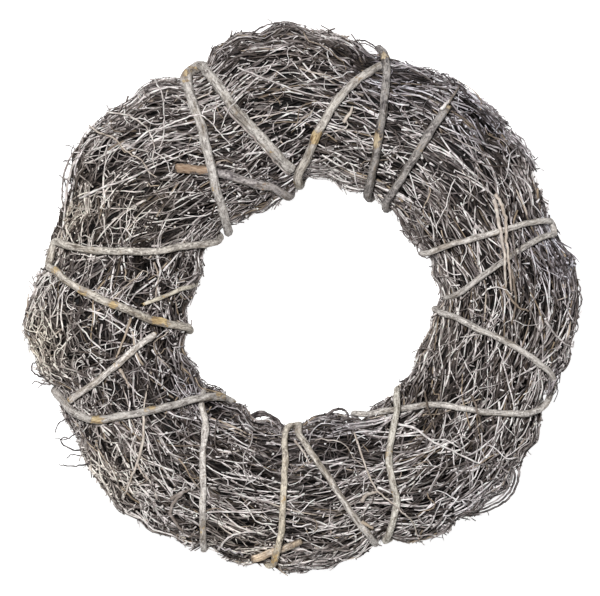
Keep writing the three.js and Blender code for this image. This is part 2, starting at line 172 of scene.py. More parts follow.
# Binding rods: radius at the start and the end in mm, the route, and what the bark shows. warm and
# shade are values spread along the rod, from cool to warm and from dark to light.
# knots: x and y on the front, swelling as a share of the radius, length in mm, how torn the bark is there
plainRod = {"bark": "pale", "ends": ("cut", "cut"), "warm": (0.1, 0.1), "shade": (1.1, 1.1)}
rods = {
    "rod_upper_left_hairpin": {
        "radius": (2.9, 3.8), "warm": (0.0, 0.15), "shade": (1.08, 0.93),
        "route": [
            *onSide((133, 312, 0.6), (133, 270, 0.6), (135, 225), (138, 192)),
            *onFront((-54, 48, 1.6), (-61, 72, 2), (-67, 96, 3), (-72, 119, 1.8), (-79, 139), (-83, 152),
                     (-83, 162), (-76, 168), (-69, 162), (-59, 149), (-46, 131), (-33, 118), (-20, 104),
                     (-8, 91, -1)),
        ],
        "knots": [
            (-86, 158, 0.3, 8, 0.5), (-80, 167, 0.24, 8, 0.45), (-72, 122, 0.1, 3, 0.5),
            (-63, 80, 0.08, 5, 0.3), (-46, 131, 0.1, 6, 0.2), (-22, 106, 0.08, 5, 0.3),
        ],
    },
    "rod_peeled_stub": {
        "radius": (3.4, 2.1), "bark": "peeled", "warm": (0.3, 0.35), "shade": (0.8, 1.25),
        "route": [
            *onFront((-92, 93), (-80, 92, -1.6), (-66, 90, -4.8), (-51, 86, -1.4), (-34, 82), (-18, 77)),
            *onSide((96, 192), (97, 232), (98, 270, 0.6), (99, 305, 0.6)),
        ],
        "knots": [(-88, 93, 0.1, 12, 1.2), (-76, 92, 0.0, 12, 1.2), (-31, 81, 0.12, 4, 0.3)],
    },
    "rod_top_left": {
        "radius": (2.9, 3.4), "warm": (0.1, 0.7), "shade": (1.0, 0.9),
        "route": [
            *onFront((59, 172, -5), (50, 165, -3.6), (43, 159, -0.4), (35, 153), (26, 143), (18, 131),
                     (10, 118), (3, 101), (-3, 87, 0)),
            *onSide((91, 190, -3), (89, 230), (87, 270, 0.6), (86, 305, 0.6)),
        ],
        "knots": [(9, 117, 0.16, 6, 0.95), (37, 157, 0.12, 6, 0.2), (0, 86, 0.14, 4, 0.3)],
    },
    "rod_top_right": {
        "radius": (2.7, 3.3), "bark": "aged", "warm": (0.0, 0.2), "shade": (0.9, 0.9),
        "route": [
            *onSide((69, 318, -0.4), (71, 345, -0.5)),
            *onFront((55, 181, 1.8), (59, 172, 2.4), (60, 157, 1.6), (58, 139), (55, 115), (51, 93)),
            *onSide((56, 185), (56, 228), (57, 268, 0.6)),
        ],
        "knots": [(55, 115, 0.2, 7, 1.1), (59, 171, 0.12, 5, 0.8), (52, 96, 0.06, 4, 0.2)],
    },
    "rod_broken": {
        "radius": (3.0, 2.7), "bark": "aged", "ends": ("broken", "cut"), "shade": (0.95, 0.95),
        "route": [
            *onFront((104, 137, -1.5), (95, 125, 0.6), (89, 114), (78, 97), (68, 81)),
            *onSide((47, 178), (45, 222), (43, 262, 0.6), (43, 296, 0.6)),
        ],
        "knots": [(103, 136, 0.1, 4, 0.7), (91, 116, 0.16, 4, 0.1), (82, 104, 0.06, 5, 0.2)],
    },
    "rod_right_hairpin": {
        "radius": (2.2, 2.1), "shade": (1.5, 1.5, 1.15, 0.9, 1.0, 1.1),
        "route": [
            *onSide((24, 300, 0.6), (24, 262, 0.6), (22, 220), (20, 182)),
            *onFront((108, 38), (129, 44), (151, 50), (173, 55), (181, 53), (183, 47, 0.2), (174, 44),
                     (163, 38), (147, 28), (128, 14), (110, 2, -2.5)),
            *onSide((0, 186, -6), (0, 228), (1, 268, 0.6)),
        ],
        "knots": [(150, 29, 0.14, 3, 0.5), (128, 44, 0.08, 5, 0.1), (182, 51, 0.14, 4, 0.3)],
    },
    "rod_lower_right": {
        "radius": (2.35, 2.2),
        "route": [
            *onSide((354, 300, 0.6), (354, 262, 0.6), (354, 222), (355, 184)),
            *onFront((110, -15), (131, -25), (151, -35), (168, -46), (179, -56)),
            *onSide((341, 14), (339.5, -4), (337, 8)),
            *onFront((171, -81), (157, -84), (135, -83), (108, -79, 0.8), (88, -77, -2.6), (69, -77, -5.4),
                     (58, -79, -3)),
            *onSide((295, 182, -0.5), (294, 225), (295, 262, 0.6)),
        ],
        "knots": [(120, -19, 0.08, 5, 0.2), (158, -83, 0.1, 6, 0.1), (52, -81, 0.12, 5, 0.3)],
    },
    "rod_bottom_right": {
        "radius": (2.3, 2.5), "bark": "cream",
        "route": [
            *onSide((311, 292, 0.6), (312, 255, 0.6), (314, 215), (316, 182, 2)),
            *onFront((69, -80, 2.8), (65, -96, 1.6), (62, -114), (64, -131), (67, -147), (65, -161),
                     (60, -177, 0)),
            *onSide((289.5, 0, -2), (290, 322, -2)),
        ],
        "knots": [(62, -113, 0.16, 5, 0.5), (66, -143, 0.12, 4, 0.4), (66, -152, 0.06, 4, 0)],
    },
    "rod_bottom_hairpin": {
        "radius": (2.4, 2.25), "warm": (0.0, 1.1), "shade": (1.1, 1.25),
        "route": [
            *onFront((53, -179), (43, -166), (30, -148), (17, -128), (5, -111), (-3, -99)),
            *onSide((268.3, 168, -0.8), (266.3, 178, -1.6), (264.2, 168, -0.8)),
            *onFront((-13, -102), (-13, -117), (-14, -140), (-15, -161, 1.8), (-18, -180, 2)),
            *onSide((263.5, 22, 0), (262, 352, -3), (262, 318, -2)),
        ],
        "knots": [
            (-14, -145, 0.12, 4, 0.6), (-13, -118, 0.08, 5, 0.1), (-17, -186, 0.22, 8, 0.8),
            (43, -166, 0.1, 8, 0.1), (-3, -97, 0.1, 4, 0.4),
        ],
    },
    "rod_bottom_stub": {
        "radius": (2.7, 2.3), "bark": "orange", "ends": ("broken", "cut"), "shade": (1.7, 0.8),
        "route": [
            *onFront((-35, -191, -1.6), (-24, -187, -3.2), (-12, -183, -4.4), (-1, -178, -4.4)),
        ],
        "knots": [(-31, -190, 0.2, 8, 1), (-5, -180, 0.1, 6, 0.6)],
    },
    "rod_bottom_left": {
        "radius": (2.35, 2.35), "shade": (1.35, 1.2),
        "route": [
            *onSide((222, 300, 0.6), (221, 262, 0.6), (220, 222, -3), (222, 184, -4.8)),
            *onFront((-71, -74, -5.2), (-70, -88, -3), (-71, -100, 0.6), (-72, -111), (-72, -132),
                     (-72, -158), (-72, -177)),
            *onSide((248.5, 4), (249, 322, -0.4)),
        ],
        "knots": [(-71, -97, 0.24, 6, 0.2), (-72, -130, 0.06, 4, 0.2), (-72, -165, 0.06, 5, 0.3)],
    },
    "rod_frayed": {
        "radius": (2.7, 2.85), "ends": ("frayed", "cut"), "shade": (0.98, 0.98),
        "route": [
            *onSide((235.5, 178, 1)),
            *onFront((-71, -73, 1.8), (-90, -77), (-111, -82), (-131, -86), (-150, -88), (-166, -83)),
            *onSide((203, 16), (200.5, 352), (201, 318, -0.4)),
        ],
        "knots": [(-109, -82, 0.16, 4, 0.75), (-148, -88, 0.2, 5, 0.95), (-62, -71, 0.1, 8, 0.7)],
    },
    "rod_left_short": {
        "radius": (2.4, 2.4), "shade": (1.4, 1.4),
        "route": [
            *onFront((-168, -75), (-153, -64), (-132, -47), (-114, -32, 0.4), (-106, -26, -2)),
        ],
        "knots": [(-167, -74, 0.05, 3, 0.8), (-136, -50, 0.06, 5, 0.1)],
    },
    "rod_left_hairpin": {
        "radius": (2.95, 2.4), "warm": (0.55, 0.15),
        "route": [
            *onSide((189, 292, 0.6), (190, 255, 0.6), (193, 215), (196.5, 182)),
            *onFront((-105, -18), (-127, -9), (-147, -1), (-166, 9), (-177, 18), (-184, 28, 0.8),
                     (-181, 38), (-170, 37), (-154, 34), (-132, 33), (-108, 33), (-83, 37)),
            *onSide((145.5, 178), (143, 222), (141.5, 262, 0.6), (141.5, 296, 0.6)),
        ],
        "knots": [
            (-105, -18, 0.26, 7, 1), (-136, -6, 0.16, 5, 0.85), (-158, 3, 0.16, 5, 0.75),
            (-178, 17, 0.14, 5, 0.7), (-132, 33, 0.08, 5, 0.1), (-164, 36, 0.1, 5, 0.2),
        ],
    },
    "rod_thin": {
        "radius": (1.3, 1.8), "bark": "cream", "ends": ("broken", "cut"), "warm": (0.5, 0.3),
        "route": [
            *onFront((-114, -5, 0.2), (-101, 0), (-89, 5.5)),
            *onSide((173, 176), (172, 205)),
        ],
        "knots": [(-101, 1, 0.12, 4, 0.4)],
    },
}

routeSteps, pressSteps = 24, 6  # steps from place to place, and how many of them share one pressed spot
rods = {name: {**plainRod, **rod} for name, rod in rods.items()}
rodRoutes = {name: smoothRoute(rod["route"], routeSteps) for name, rod in rods.items()}

# What changes over the ring is kept on a grid of angle and section
gridStep = 3.0  # degrees of section. The grid has every whole degree of angle
gridSections = np.arange(0, 360 + gridStep, gridStep)
gridAngle, gridSection = np.meshgrid(np.arange(0, 361, 1.0), gridSections, indexing="ij")
gridPoints = surfacePoints(gridAngle, gridSection, 0)


# How strongly a place is felt all over the grid, fading over a size in mm. Two axes leave out the height
def nearTo(place, size, axes=3):
    apart = np.sum((gridPoints[..., :axes] - surfacePoints(*place)[:axes]) ** 2, axis=-1)
    return np.exp(-apart / (size * mm) ** 2)


def readGrid(grid, angle, section):
    turned, row = np.mod(angle, 360), np.mod(section, 360) / gridStep
    i, j = turned.astype(int), row.astype(int)
    u, v = turned - i, row - j
    return ((1 - u) * (1 - v) * grid[i, j] + u * (1 - v) * grid[i + 1, j]
            + (1 - u) * v * grid[i, j + 1] + u * v * grid[i + 1, j + 1])


# How far the rods press the twigs in
pressGrid = np.zeros(gridAngle.shape)
for place in np.vstack([route[::pressSteps] for route in rodRoutes.values()]):
    depth = max(0, ring["pressDepth"] + ring["pressFollow"] * (ring["rodLift"] - place[2]))
    pressGrid = np.maximum(pressGrid, depth * nearTo(place, ring["pressWidth"]))

# Dark hollows between the twigs, dented in and darkened with painted shade: a place, the radius and the depth
# in mm
hollows = [
    (front(-156, 89), 6, 7), (front(-150, 97), 5, 5), (front(27, 177), 5, 7), (front(47, 176), 5, 7),
    (front(137, 118), 6, 7), (front(133, 108), 5, 5), (front(-117, 38), 5, 4), (front(-98, 43), 5, 5),
    (front(126, 68), 6, 4), (front(112, -62), 5, 4), (front(-60, -105), 5, 4), (front(30, -108), 5, 4),
    (front(-96, 62), 5, 4), (front(-62, 116), 5, 4), (front(98, 120), 5, 4), (front(-20, 128), 5, 4),
    (side(150, 12), 13, 7), (side(156, 10), 14, 9), (side(162, 10), 12, 8), (front(44, 172), 10, 8),
    (front(-28, 190), 7, 6), (front(-32, -92), 5, 5),
]
hollowGrid = np.zeros(gridAngle.shape)
for place, size, depth in hollows:
    hollowGrid = np.maximum(hollowGrid, depth * nearTo(place, size))

# Small swells and nips of the twigs at both rims: ring angle, how far they stand out and their size, in mm
rimSwells = [
    (8, 3, 6), (12, -2, 6), (28, -3, 6), (38, -5, 6), (58, -4, 6), (75, -4, 5), (99, -5, 8), (110, 4, 6),
    (120, -3, 6), (131, -5, 13), (148, 3, 6), (154, -3, 6), (179, -4, 7), (186, 4, 7), (193, -3, 6),
    (205, 3, 7), (212, -3, 6), (229, 4, 10), (237, 4, 10), (245, 3, 8), (266, 3, 6), (279, -4, 8),
    (292, 3, 6), (305, -5, 9), (313, -6, 11), (320, -5, 8), (328, 3, 6), (338, -3, 6), (346, 4, 10),
]
holeSwells = [
    (6, -2, 6), (16, -4, 7), (26, 4, 7), (36, 3, 7), (58, -3, 6), (78, -4, 8), (122, -3, 6), (139, -4, 7),
    (152, -3, 7), (167, 4, 8), (177, 4, 7), (187, -4, 7), (207, -4, 8), (228, 4, 7), (240, 4, 7),
    (249, -6, 7), (265, -2, 6), (294, -4, 8), (302, 3, 6), (319, 3, 6), (334, 3, 6), (352, 3, 6),
]
swellGrid = np.zeros(gridAngle.shape)
for section, swells in ((0, rimSwells), (180, holeSwells)):
    for angle, reach, size in swells:
        swellGrid += reach * nearTo((angle, section, 0), size, axes=2)

# Parts of the ring that are lighter or darker, and warmer or cooler: angle, section, the size in mm, how
# much lighter and how much warmer
toneZones = [
    (10, 30, 32, -0.18, -1.2), (45, 30, 30, -0.12, -1.2), (68, 35, 30, -0.21, -1.2),
    (105, 30, 30, -0.16, -0.1), (45, 90, 26, 0.14, 0), (75, 150, 26, 0.2, 0.1), (10, 90, 28, -0.06, 0.1),
    (100, 150, 26, -0.06, -0.3), (190, 150, 26, -0.1, 0), (222, 150, 30, -0.25, -0.7),
    (255, 150, 24, -0.04, -0.2), (285, 150, 32, -0.08, -0.5), (315, 150, 26, -0.22, 0.1),
    (345, 150, 24, -0.04, 0.3), (5, 150, 24, -0.05, 0.1), (160, 30, 34, 0.05, 1.0),
    (190, 30, 30, 0.25, 1.2), (222, 30, 34, 0.12, 0.7), (255, 30, 30, 0.0, 0.7), (150, 90, 28, 0.05, 0.4),
    (222, 90, 26, -0.06, 0), (280, 30, 30, 0.09, 0.1), (310, 40, 32, 0.09, -0.3),
]
lightGrid, warmGrid = np.zeros((2, *gridAngle.shape))
for angle, section, size, lighter, warmer in toneZones:
    near = nearTo(side(angle, section), size)
    lightGrid += lighter * near
    warmGrid += warmer * near


# How far the twigs hang down at the three low spots that the wreath lies on
def footAt(angle, section):
    back = np.maximum(0, -np.sin(np.radians(section))) ** 3
    near = np.zeros_like(back)
    for foot in ring["footAngles"]:
        apart = np.mod(angle - foot + 180, 360) - 180
        near = np.maximum(near, np.exp(-((apart / ring["footReach"]) ** 2)))
    return ring["footDrop"] * back * near


print("frame, camera and routes ready")


# Materials

# A value for a socket is another socket, a number, or a colour without its alpha
def setSocket(tree, socket, value):
    if isinstance(value, bpy.types.NodeSocket):
        tree.links.new(value, socket)
    else:
        socket.default_value = (*value, 1) if socket.type == "RGBA" else value


def setSockets(tree, node, **values):
    for label, value in values.items():
        setSocket(tree, node.inputs[label.replace("_", " ")], value)
    return node.outputs


def newSocketGroup(name, inputs, outputs):
    tree = bpy.data.node_groups.new(name, "ShaderNodeTree")
    for label, kind, value in inputs:
        socket = tree.interface.new_socket(name=label, in_out="INPUT", socket_type="NodeSocket" + kind)
        if value is not None:
            socket.default_value = value
    for label, kind in outputs:
        tree.interface.new_socket(name=label, in_out="OUTPUT", socket_type="NodeSocket" + kind)
    return tree, tree.nodes.new("NodeGroupInput").outputs, tree.nodes.new("NodeGroupOutput")


def placeGroup(tree, group, **values):
    placed = tree.nodes.new("ShaderNodeGroup")
    placed.node_tree = group
    return setSockets(tree, placed, **values)


def mixColors(tree, blend, factor, a, b):
    mix = tree.nodes.new("ShaderNodeMix")
    mix.data_type = "RGBA"
    mix.blend_type = blend
    return setSockets(tree, mix, Factor=factor, A=a, B=b)["Result"]


# A value spread from one range to another, held inside the new one
def mapRange(tree, value, low, high, newLow, newHigh):
    spread = tree.nodes.new("ShaderNodeMapRange")
    out = setSockets(tree, spread, Value=value, From_Min=low, From_Max=high, To_Min=newLow, To_Max=newHigh)
    return out["Result"]


def addNoise(tree, place, scale, detail, roughness=0.5):
    noise = tree.nodes.new("ShaderNodeTexNoise")
    return setSockets(tree, noise, Vector=place, Scale=scale, Detail=detail, Roughness=roughness)["Fac"]


def addMath(tree, operation, a, b):
    node = tree.nodes.new("ShaderNodeMath")
    node.operation = operation
    for socket, value in zip(node.inputs, (a, b)):
        setSocket(tree, socket, value)
    return node.outputs[0]


def readAttribute(tree, name):
    attribute = tree.nodes.new("ShaderNodeAttribute")
    attribute.attribute_name = name
    return attribute.outputs


def startMaterial(name, shine=0.2):
    material = bpy.data.materials.new(name)
    material.use_nodes = True
    shader = material.node_tree.nodes["Principled BSDF"]
    shader.inputs["Specular IOR Level"].default_value = shine
    return material, material.node_tree, shader


# Relief on a shader, as deep as a distance in mm
def addRelief(tree, shader, height, strength, distance):
    bump = tree.nodes.new("ShaderNodeBump")
    setSockets(tree, bump, Height=height, Strength=strength, Distance=distance * mm)
    tree.links.new(bump.outputs["Normal"], shader.inputs["Normal"])


# Fibres along the wood: fine streaks, cracks between them, small flecks, broader patches and long stains
def makeFibres():
    tree, given, out = newSocketGroup(
        "fibres",
        [("Place", "Vector", None), ("Across", "Float", 900.0), ("Along", "Float", 0.08),
         ("Patch Size", "Float", 90.0)],
        [(label, "Float") for label in ("Streaks", "Cracks", "Flecks", "Patches", "Stains")],
    )
    place, across = given["Place"], given["Across"]
    squeeze = setSockets(tree, tree.nodes.new("ShaderNodeCombineXYZ"), X=1, Y=1, Z=given["Along"])
    stretch = tree.nodes.new("ShaderNodeVectorMath")
    stretch.operation = "MULTIPLY"
    tree.links.new(place, stretch.inputs[0])
    tree.links.new(squeeze[0], stretch.inputs[1])
    stretched = stretch.outputs[0]
    streaks = addNoise(tree, stretched, across, 4, 0.65)
    lines = addNoise(tree, stretched, addMath(tree, "MULTIPLY", across, 0.55), 3)
    offLine = addMath(tree, "ABSOLUTE", addMath(tree, "SUBTRACT", lines, 0.5), 0)
    flecks = addNoise(tree, place, addMath(tree, "MULTIPLY", across, 0.7), 3, 0.6)
    patches = addNoise(tree, place, given["Patch Size"], 3)
    stains = addNoise(tree, stretched, addMath(tree, "MULTIPLY", across, 0.33), 3, 0.6)
    setSockets(
        tree, out,
        Streaks=mapRange(tree, streaks, 0.38, 0.62, 0, 1), Cracks=mapRange(tree, offLine, 0.004, 0.022, 1, 0),
        Flecks=mapRange(tree, flecks, 0.5, 0.6, 0, 1), Patches=mapRange(tree, patches, 0.4, 0.6, 0, 1),
        Stains=mapRange(tree, stains, 0.46, 0.37, 0, 1),
    )
    return tree


# Dust and sun-bleaching laid over a colour, with dark specks and stains in it
def makeWeathering():
    tree, given, out = newSocketGroup(
        "weathering",
        [("Color", "Color", None), ("Bleached", "Color", (0.6, 0.57, 0.54, 1)), ("Patches", "Float", 0.5),
         ("Place", "Vector", None), ("Bleach", "Float", 0.4), ("Specks", "Float", 0.5),
         ("Stains", "Float", 0.0), ("Stain", "Float", 0.5)],
        [("Color", "Color")],
    )
    amount = addMath(tree, "MULTIPLY", given["Patches"], given["Bleach"])
    bleached = mixColors(tree, "MIX", amount, given["Color"], given["Bleached"])
    specks = mapRange(tree, addNoise(tree, given["Place"], 700, 2), 0.58, 0.66, 0, 1)
    dark = addMath(tree, "MULTIPLY", specks, given["Specks"])
    specked = mixColors(tree, "MULTIPLY", dark, bleached, (0.3, 0.26, 0.24))
    stained = addMath(tree, "MULTIPLY", given["Stains"], given["Stain"])
    setSockets(tree, out, Color=mixColors(tree, "MULTIPLY", stained, specked, (0.42, 0.38, 0.33)))
    return tree


fibres = makeFibres()
weathering = makeWeathering()

# Rod bark: dark and light fibres, how bleached it is, and the wood and splits where it is torn
barkLooks = {
    "pale": {"dark": (0.19, 0.168, 0.15), "light": (0.55, 0.51, 0.465), "fleck": (0.74, 0.705, 0.64),
             "bleach": 0.45, "torn": (0.6, 0.47, 0.27), "split": (0.21, 0.135, 0.07)},
    "cream": {"dark": (0.24, 0.212, 0.17), "light": (0.6, 0.56, 0.475), "fleck": (0.78, 0.75, 0.66),
              "bleach": 0.35, "torn": (0.6, 0.47, 0.27), "split": (0.2, 0.13, 0.06)},
    "orange": {"dark": (0.2, 0.145, 0.1), "light": (0.5, 0.4, 0.29), "fleck": (0.66, 0.6, 0.5),
               "bleach": 0.3, "torn": (0.56, 0.46, 0.33), "split": (0.26, 0.185, 0.12)},
    "aged": {"dark": (0.055, 0.047, 0.045), "light": (0.26, 0.236, 0.222), "fleck": (0.52, 0.48, 0.44),
             "bleach": 0.35, "torn": (0.62, 0.51, 0.34), "split": (0.24, 0.17, 0.1)},
    "peeled": {"dark": (0.15, 0.13, 0.135), "light": (0.43, 0.395, 0.39), "fleck": (0.6, 0.56, 0.54),
               "bleach": 0.3, "torn": (0.56, 0.42, 0.31), "split": (0.26, 0.165, 0.105)},
}

# How every bark wears: how strong each effect is, its colours, and the relief's strength and depth in mm
barkWear = {
    "flecks": 0.7, "specks": 0.6, "stain": 0.75, "cracks": 0.55,
    "bleached": (0.66, 0.62, 0.56), "lifted": (0.4, 0.32, 0.26), "cracked": (0.28, 0.24, 0.22),
    "cool": (0.975, 0.987, 1.035), "warm": (1.05, 1.0, 0.86), "relief": (0.7, 0.4),
}


def makeBark(name, look):
    material, tree, shader = startMaterial("bark_" + name)
    place = readAttribute(tree, "barkPlace")["Vector"]
    fibre = placeGroup(tree, fibres, Place=place, Across=620, Along=0.2, Patch_Size=110)
    color = mixColors(tree, "MIX", fibre["Streaks"], look["dark"], look["light"])
    flecked = addMath(tree, "MULTIPLY", fibre["Flecks"], barkWear["flecks"])
    color = mixColors(tree, "MIX", flecked, color, look["fleck"])
    color = placeGroup(
        tree, weathering, Color=color, Place=place, Patches=fibre["Patches"], Bleach=look["bleach"],
        Bleached=barkWear["bleached"], Specks=barkWear["specks"], Stains=fibre["Stains"],
        Stain=barkWear["stain"],
    )["Color"]
    # torn bark has a ragged edge, dark where it lifts
    ragged = addMath(tree, "ADD", mapRange(tree, fibre["Patches"], 0, 1, -0.28, 0.22),
                     mapRange(tree, fibre["Flecks"], 0, 1, -0.24, 0.2))
    edge = addMath(tree, "ADD", readAttribute(tree, "torn")["Fac"], ragged)
    wood = mixColors(tree, "MIX", fibre["Streaks"], look["split"], look["torn"])
    color = mixColors(tree, "MULTIPLY", mapRange(tree, edge, 0.2, 0.45, 0, 0.6), color, barkWear["lifted"])
    color = mixColors(tree, "MIX", mapRange(tree, edge, 0.45, 0.62, 0, 1), color, wood)
    cracked = addMath(tree, "MULTIPLY", fibre["Cracks"], barkWear["cracks"])
    color = mixColors(tree, "MULTIPLY", cracked, color, barkWear["cracked"])
    warmth = mixColors(tree, "MIX", readAttribute(tree, "warm")["Fac"], barkWear["cool"], barkWear["warm"])
    color = mixColors(tree, "MULTIPLY", 1.0, color, warmth)
    color = mixColors(tree, "MULTIPLY", 1.0, color, readAttribute(tree, "shade")["Fac"])
    setSockets(tree, shader, Base_Color=color, Roughness=mapRange(tree, fibre["Streaks"], 0, 1, 0.9, 0.65))
    raised = addMath(tree, "SUBTRACT", fibre["Streaks"], fibre["Cracks"])
    addRelief(tree, shader, raised, *barkWear["relief"])
    return material


# Fine twigs: twigTone holds, for each twig, how light, how ochre, how deep and how warm it is. Deep twigs are
# darkened towards the deep colour as painted shade
twigLook = {
    "shades": [
        (0.0, (0.01, 0.008, 0.0085)), (0.3, (0.06, 0.05, 0.049)), (0.6, (0.26, 0.236, 0.23)),
        (0.85, (0.56, 0.53, 0.52)), (1.0, (0.86, 0.845, 0.83)),
    ],
    # deep: the near-black that deep twigs and the core are darkened towards, painted shade
    "ochre": (0.41, 0.315, 0.215), "deep": (0.05, 0.04, 0.042),
    "rosy": (0.985, 0.944, 0.955), "greenish": (0.915, 1.0, 0.95),
    "cool": (0.932, 0.947, 1.065), "warm": (1.058, 1.004, 0.895), "relief": (0.4, 0.15),
}


def makeTwigs():
    material, tree, shader = startMaterial("brushwood")
    place = readAttribute(tree, "barkPlace")["Vector"]
    twigTone = readAttribute(tree, "twigTone")
    tone = setSockets(tree, tree.nodes.new("ShaderNodeSeparateColor"), Color=twigTone["Color"])
    fibre = placeGroup(tree, fibres, Place=place, Across=1300, Along=0.12, Patch_Size=140)
    light = addMath(tree, "ADD", tone["Red"], mapRange(tree, fibre["Patches"], 0, 1, -0.12, 0.12))
    ramp = tree.nodes.new("ShaderNodeValToRGB")
    stops = ramp.color_ramp.elements
    while len(stops) < len(twigLook["shades"]):
        stops.new(0.5)
    for stop, (position, color) in zip(stops, twigLook["shades"]):
        stop.position = position
        stop.color = (*color, 1)
    tree.links.new(light, ramp.inputs["Fac"])
    tint = mixColors(tree, "MIX", fibre["Flecks"], twigLook["rosy"], twigLook["greenish"])
    color = mixColors(tree, "MULTIPLY", 1.0, ramp.outputs["Color"], tint)
    warmth = mixColors(tree, "MIX", twigTone["Alpha"], twigLook["cool"], twigLook["warm"])
    color = mixColors(tree, "MULTIPLY", 1.0, color, warmth)
    color = mixColors(tree, "MIX", tone["Green"], color, twigLook["ochre"])
    # painted shade: deeper twigs and the core are darkened towards the deep colour
    color = mixColors(tree, "MULTIPLY", tone["Blue"], color, twigLook["deep"])
    color = mixColors(tree, "MULTIPLY", 1.0, color, mapRange(tree, fibre["Streaks"], 0, 1, 0.7, 1.1))
    setSockets(tree, shader, Base_Color=color, Roughness=mapRange(tree, fibre["Streaks"], 0, 1, 0.75, 0.5))
    addRelief(tree, shader, fibre["Streaks"], *twigLook["relief"])
    return material


barks = {name: makeBark(name, look) for name, look in barkLooks.items()}
brushwood = makeTwigs()
print("materials ready")


# Meshes

# A mesh object at the origin with smooth faces and its point attributes
def meshObject(name, points, faces, material, **attributes):
    mesh = bpy.data.meshes.new(name)
    mesh.from_pydata(points.tolist(), [], faces)
    mesh.update()
    mesh.polygons.foreach_set("use_smooth", np.ones(len(mesh.polygons), bool))
    for label, values in attributes.items():
        if label == "twigTone":
            layer = mesh.color_attributes.new(label, "FLOAT_COLOR", "POINT")
            layer.data.foreach_set("color", values.ravel())
        elif values.ndim == 2:
            mesh.attributes.new(label, "FLOAT_VECTOR", "POINT").data.foreach_set("vector", values.ravel())
        else:
            mesh.attributes.new(label, "FLOAT", "POINT").data.foreach_set("value", values)
    mesh.materials.append(material)
    made = bpy.data.objects.new(name, mesh)
    bpy.context.scene.collection.objects.link(made)
    return made


# Faces between neighbouring rings of corners. The last two axes are the ring and the place on it
def wallsBetween(corners):
    beyond = np.roll(corners, -1, axis=-1)
    return np.stack([corners[..., :-1, :], beyond[..., :-1, :], beyond[..., 1:, :], corners[..., 1:, :]], -1)


# Directions at each point of a line: along it, out of the surface, and sideways
def crossDirections(points, outward):
    ahead = np.gradient(points, axis=-2)
    ahead /= np.linalg.norm(ahead, axis=-1, keepdims=True)
    sideways = np.cross(ahead, outward)
    sideways /= np.linalg.norm(sideways, axis=-1, keepdims=True)
    return ahead, np.cross(sideways, ahead), sideways


# Rods
rodDetail = {
    "sides": 18, "step": 1.5,  # mm between rings
    "furrows": 0.08, "lumps": 0.06, "grit": 0.022,  # shares of the radius
    "sway": 0.45,  # mm that a rod wanders off its route
    "swayWave": 0.05, "lumpWave": 0.028,  # metres
    "furrowWaves": (3, 7, 11), "furrowLean": 2.5,  # furrows round the rod, and radians that they lean
    "knotSide": 0.6, "knotTurn": (0.6, 2.5),  # a knot's share on each side, and radians that it faces
    "splinters": {"broken": 2.5, "frayed": 5.0},  # mm
    "wornEdge": 0.85, "tornEnd": 0.8,  # shares
}


# How swollen and how torn a rod is at its knots, for each ring and side
def swellKnots(knots, points, rings, turn):
    swollen, torn = np.zeros((2, len(rings), len(turn)))
    for x, y, swelling, length, tear in knots:
        nearest = np.argmin(np.linalg.norm(points - surfacePoints(*front(x, y)), axis=1))
        near = np.exp(-(((rings - rings[nearest]) / (length * mm)) ** 2))
        facing = np.cos(turn - draw.uniform(*rodDetail["knotTurn"]))
        oneSided = rodDetail["knotSide"] + rodDetail["knotSide"] * facing
        swollen += swelling * near[:, None] * oneSided
        torn = np.maximum(torn, tear * near[:, None] * oneSided)
    return swollen, torn


# A cut end has a worn edge, a broken or frayed one stands out in splinters
def shapeEnds(ends, skin, points, ahead, torn):
    for end, way in ((0, -1), (-1, 1)):
        if ends[end] == "cut":
            skin[end] = points[end] + (skin[end] - points[end]) * rodDetail["wornEdge"]
        else:
            reach = rodDetail["splinters"][ends[end]] * mm
            skin[end] += way * ahead[end] * (reach * draw.uniform(0, 1, len(skin[end])))[:, None]
        torn[end] = rodDetail["tornEnd"]


# Walls along a rod, and at each end a fan round a point of its own that comes after all the others
def rodFaces(count, sides):
    corners = np.arange(count * sides).reshape(count, sides)
    beyond = np.roll(corners, -1, axis=1)
    faces = wallsBetween(corners).reshape(-1, 4).tolist()
    faces += [[b, a, corners.size] for a, b in zip(corners[0].tolist(), beyond[0].tolist())]
    faces += [[a, b, corners.size + 1] for a, b in zip(corners[-1].tolist(), beyond[-1].tolist())]
    return faces


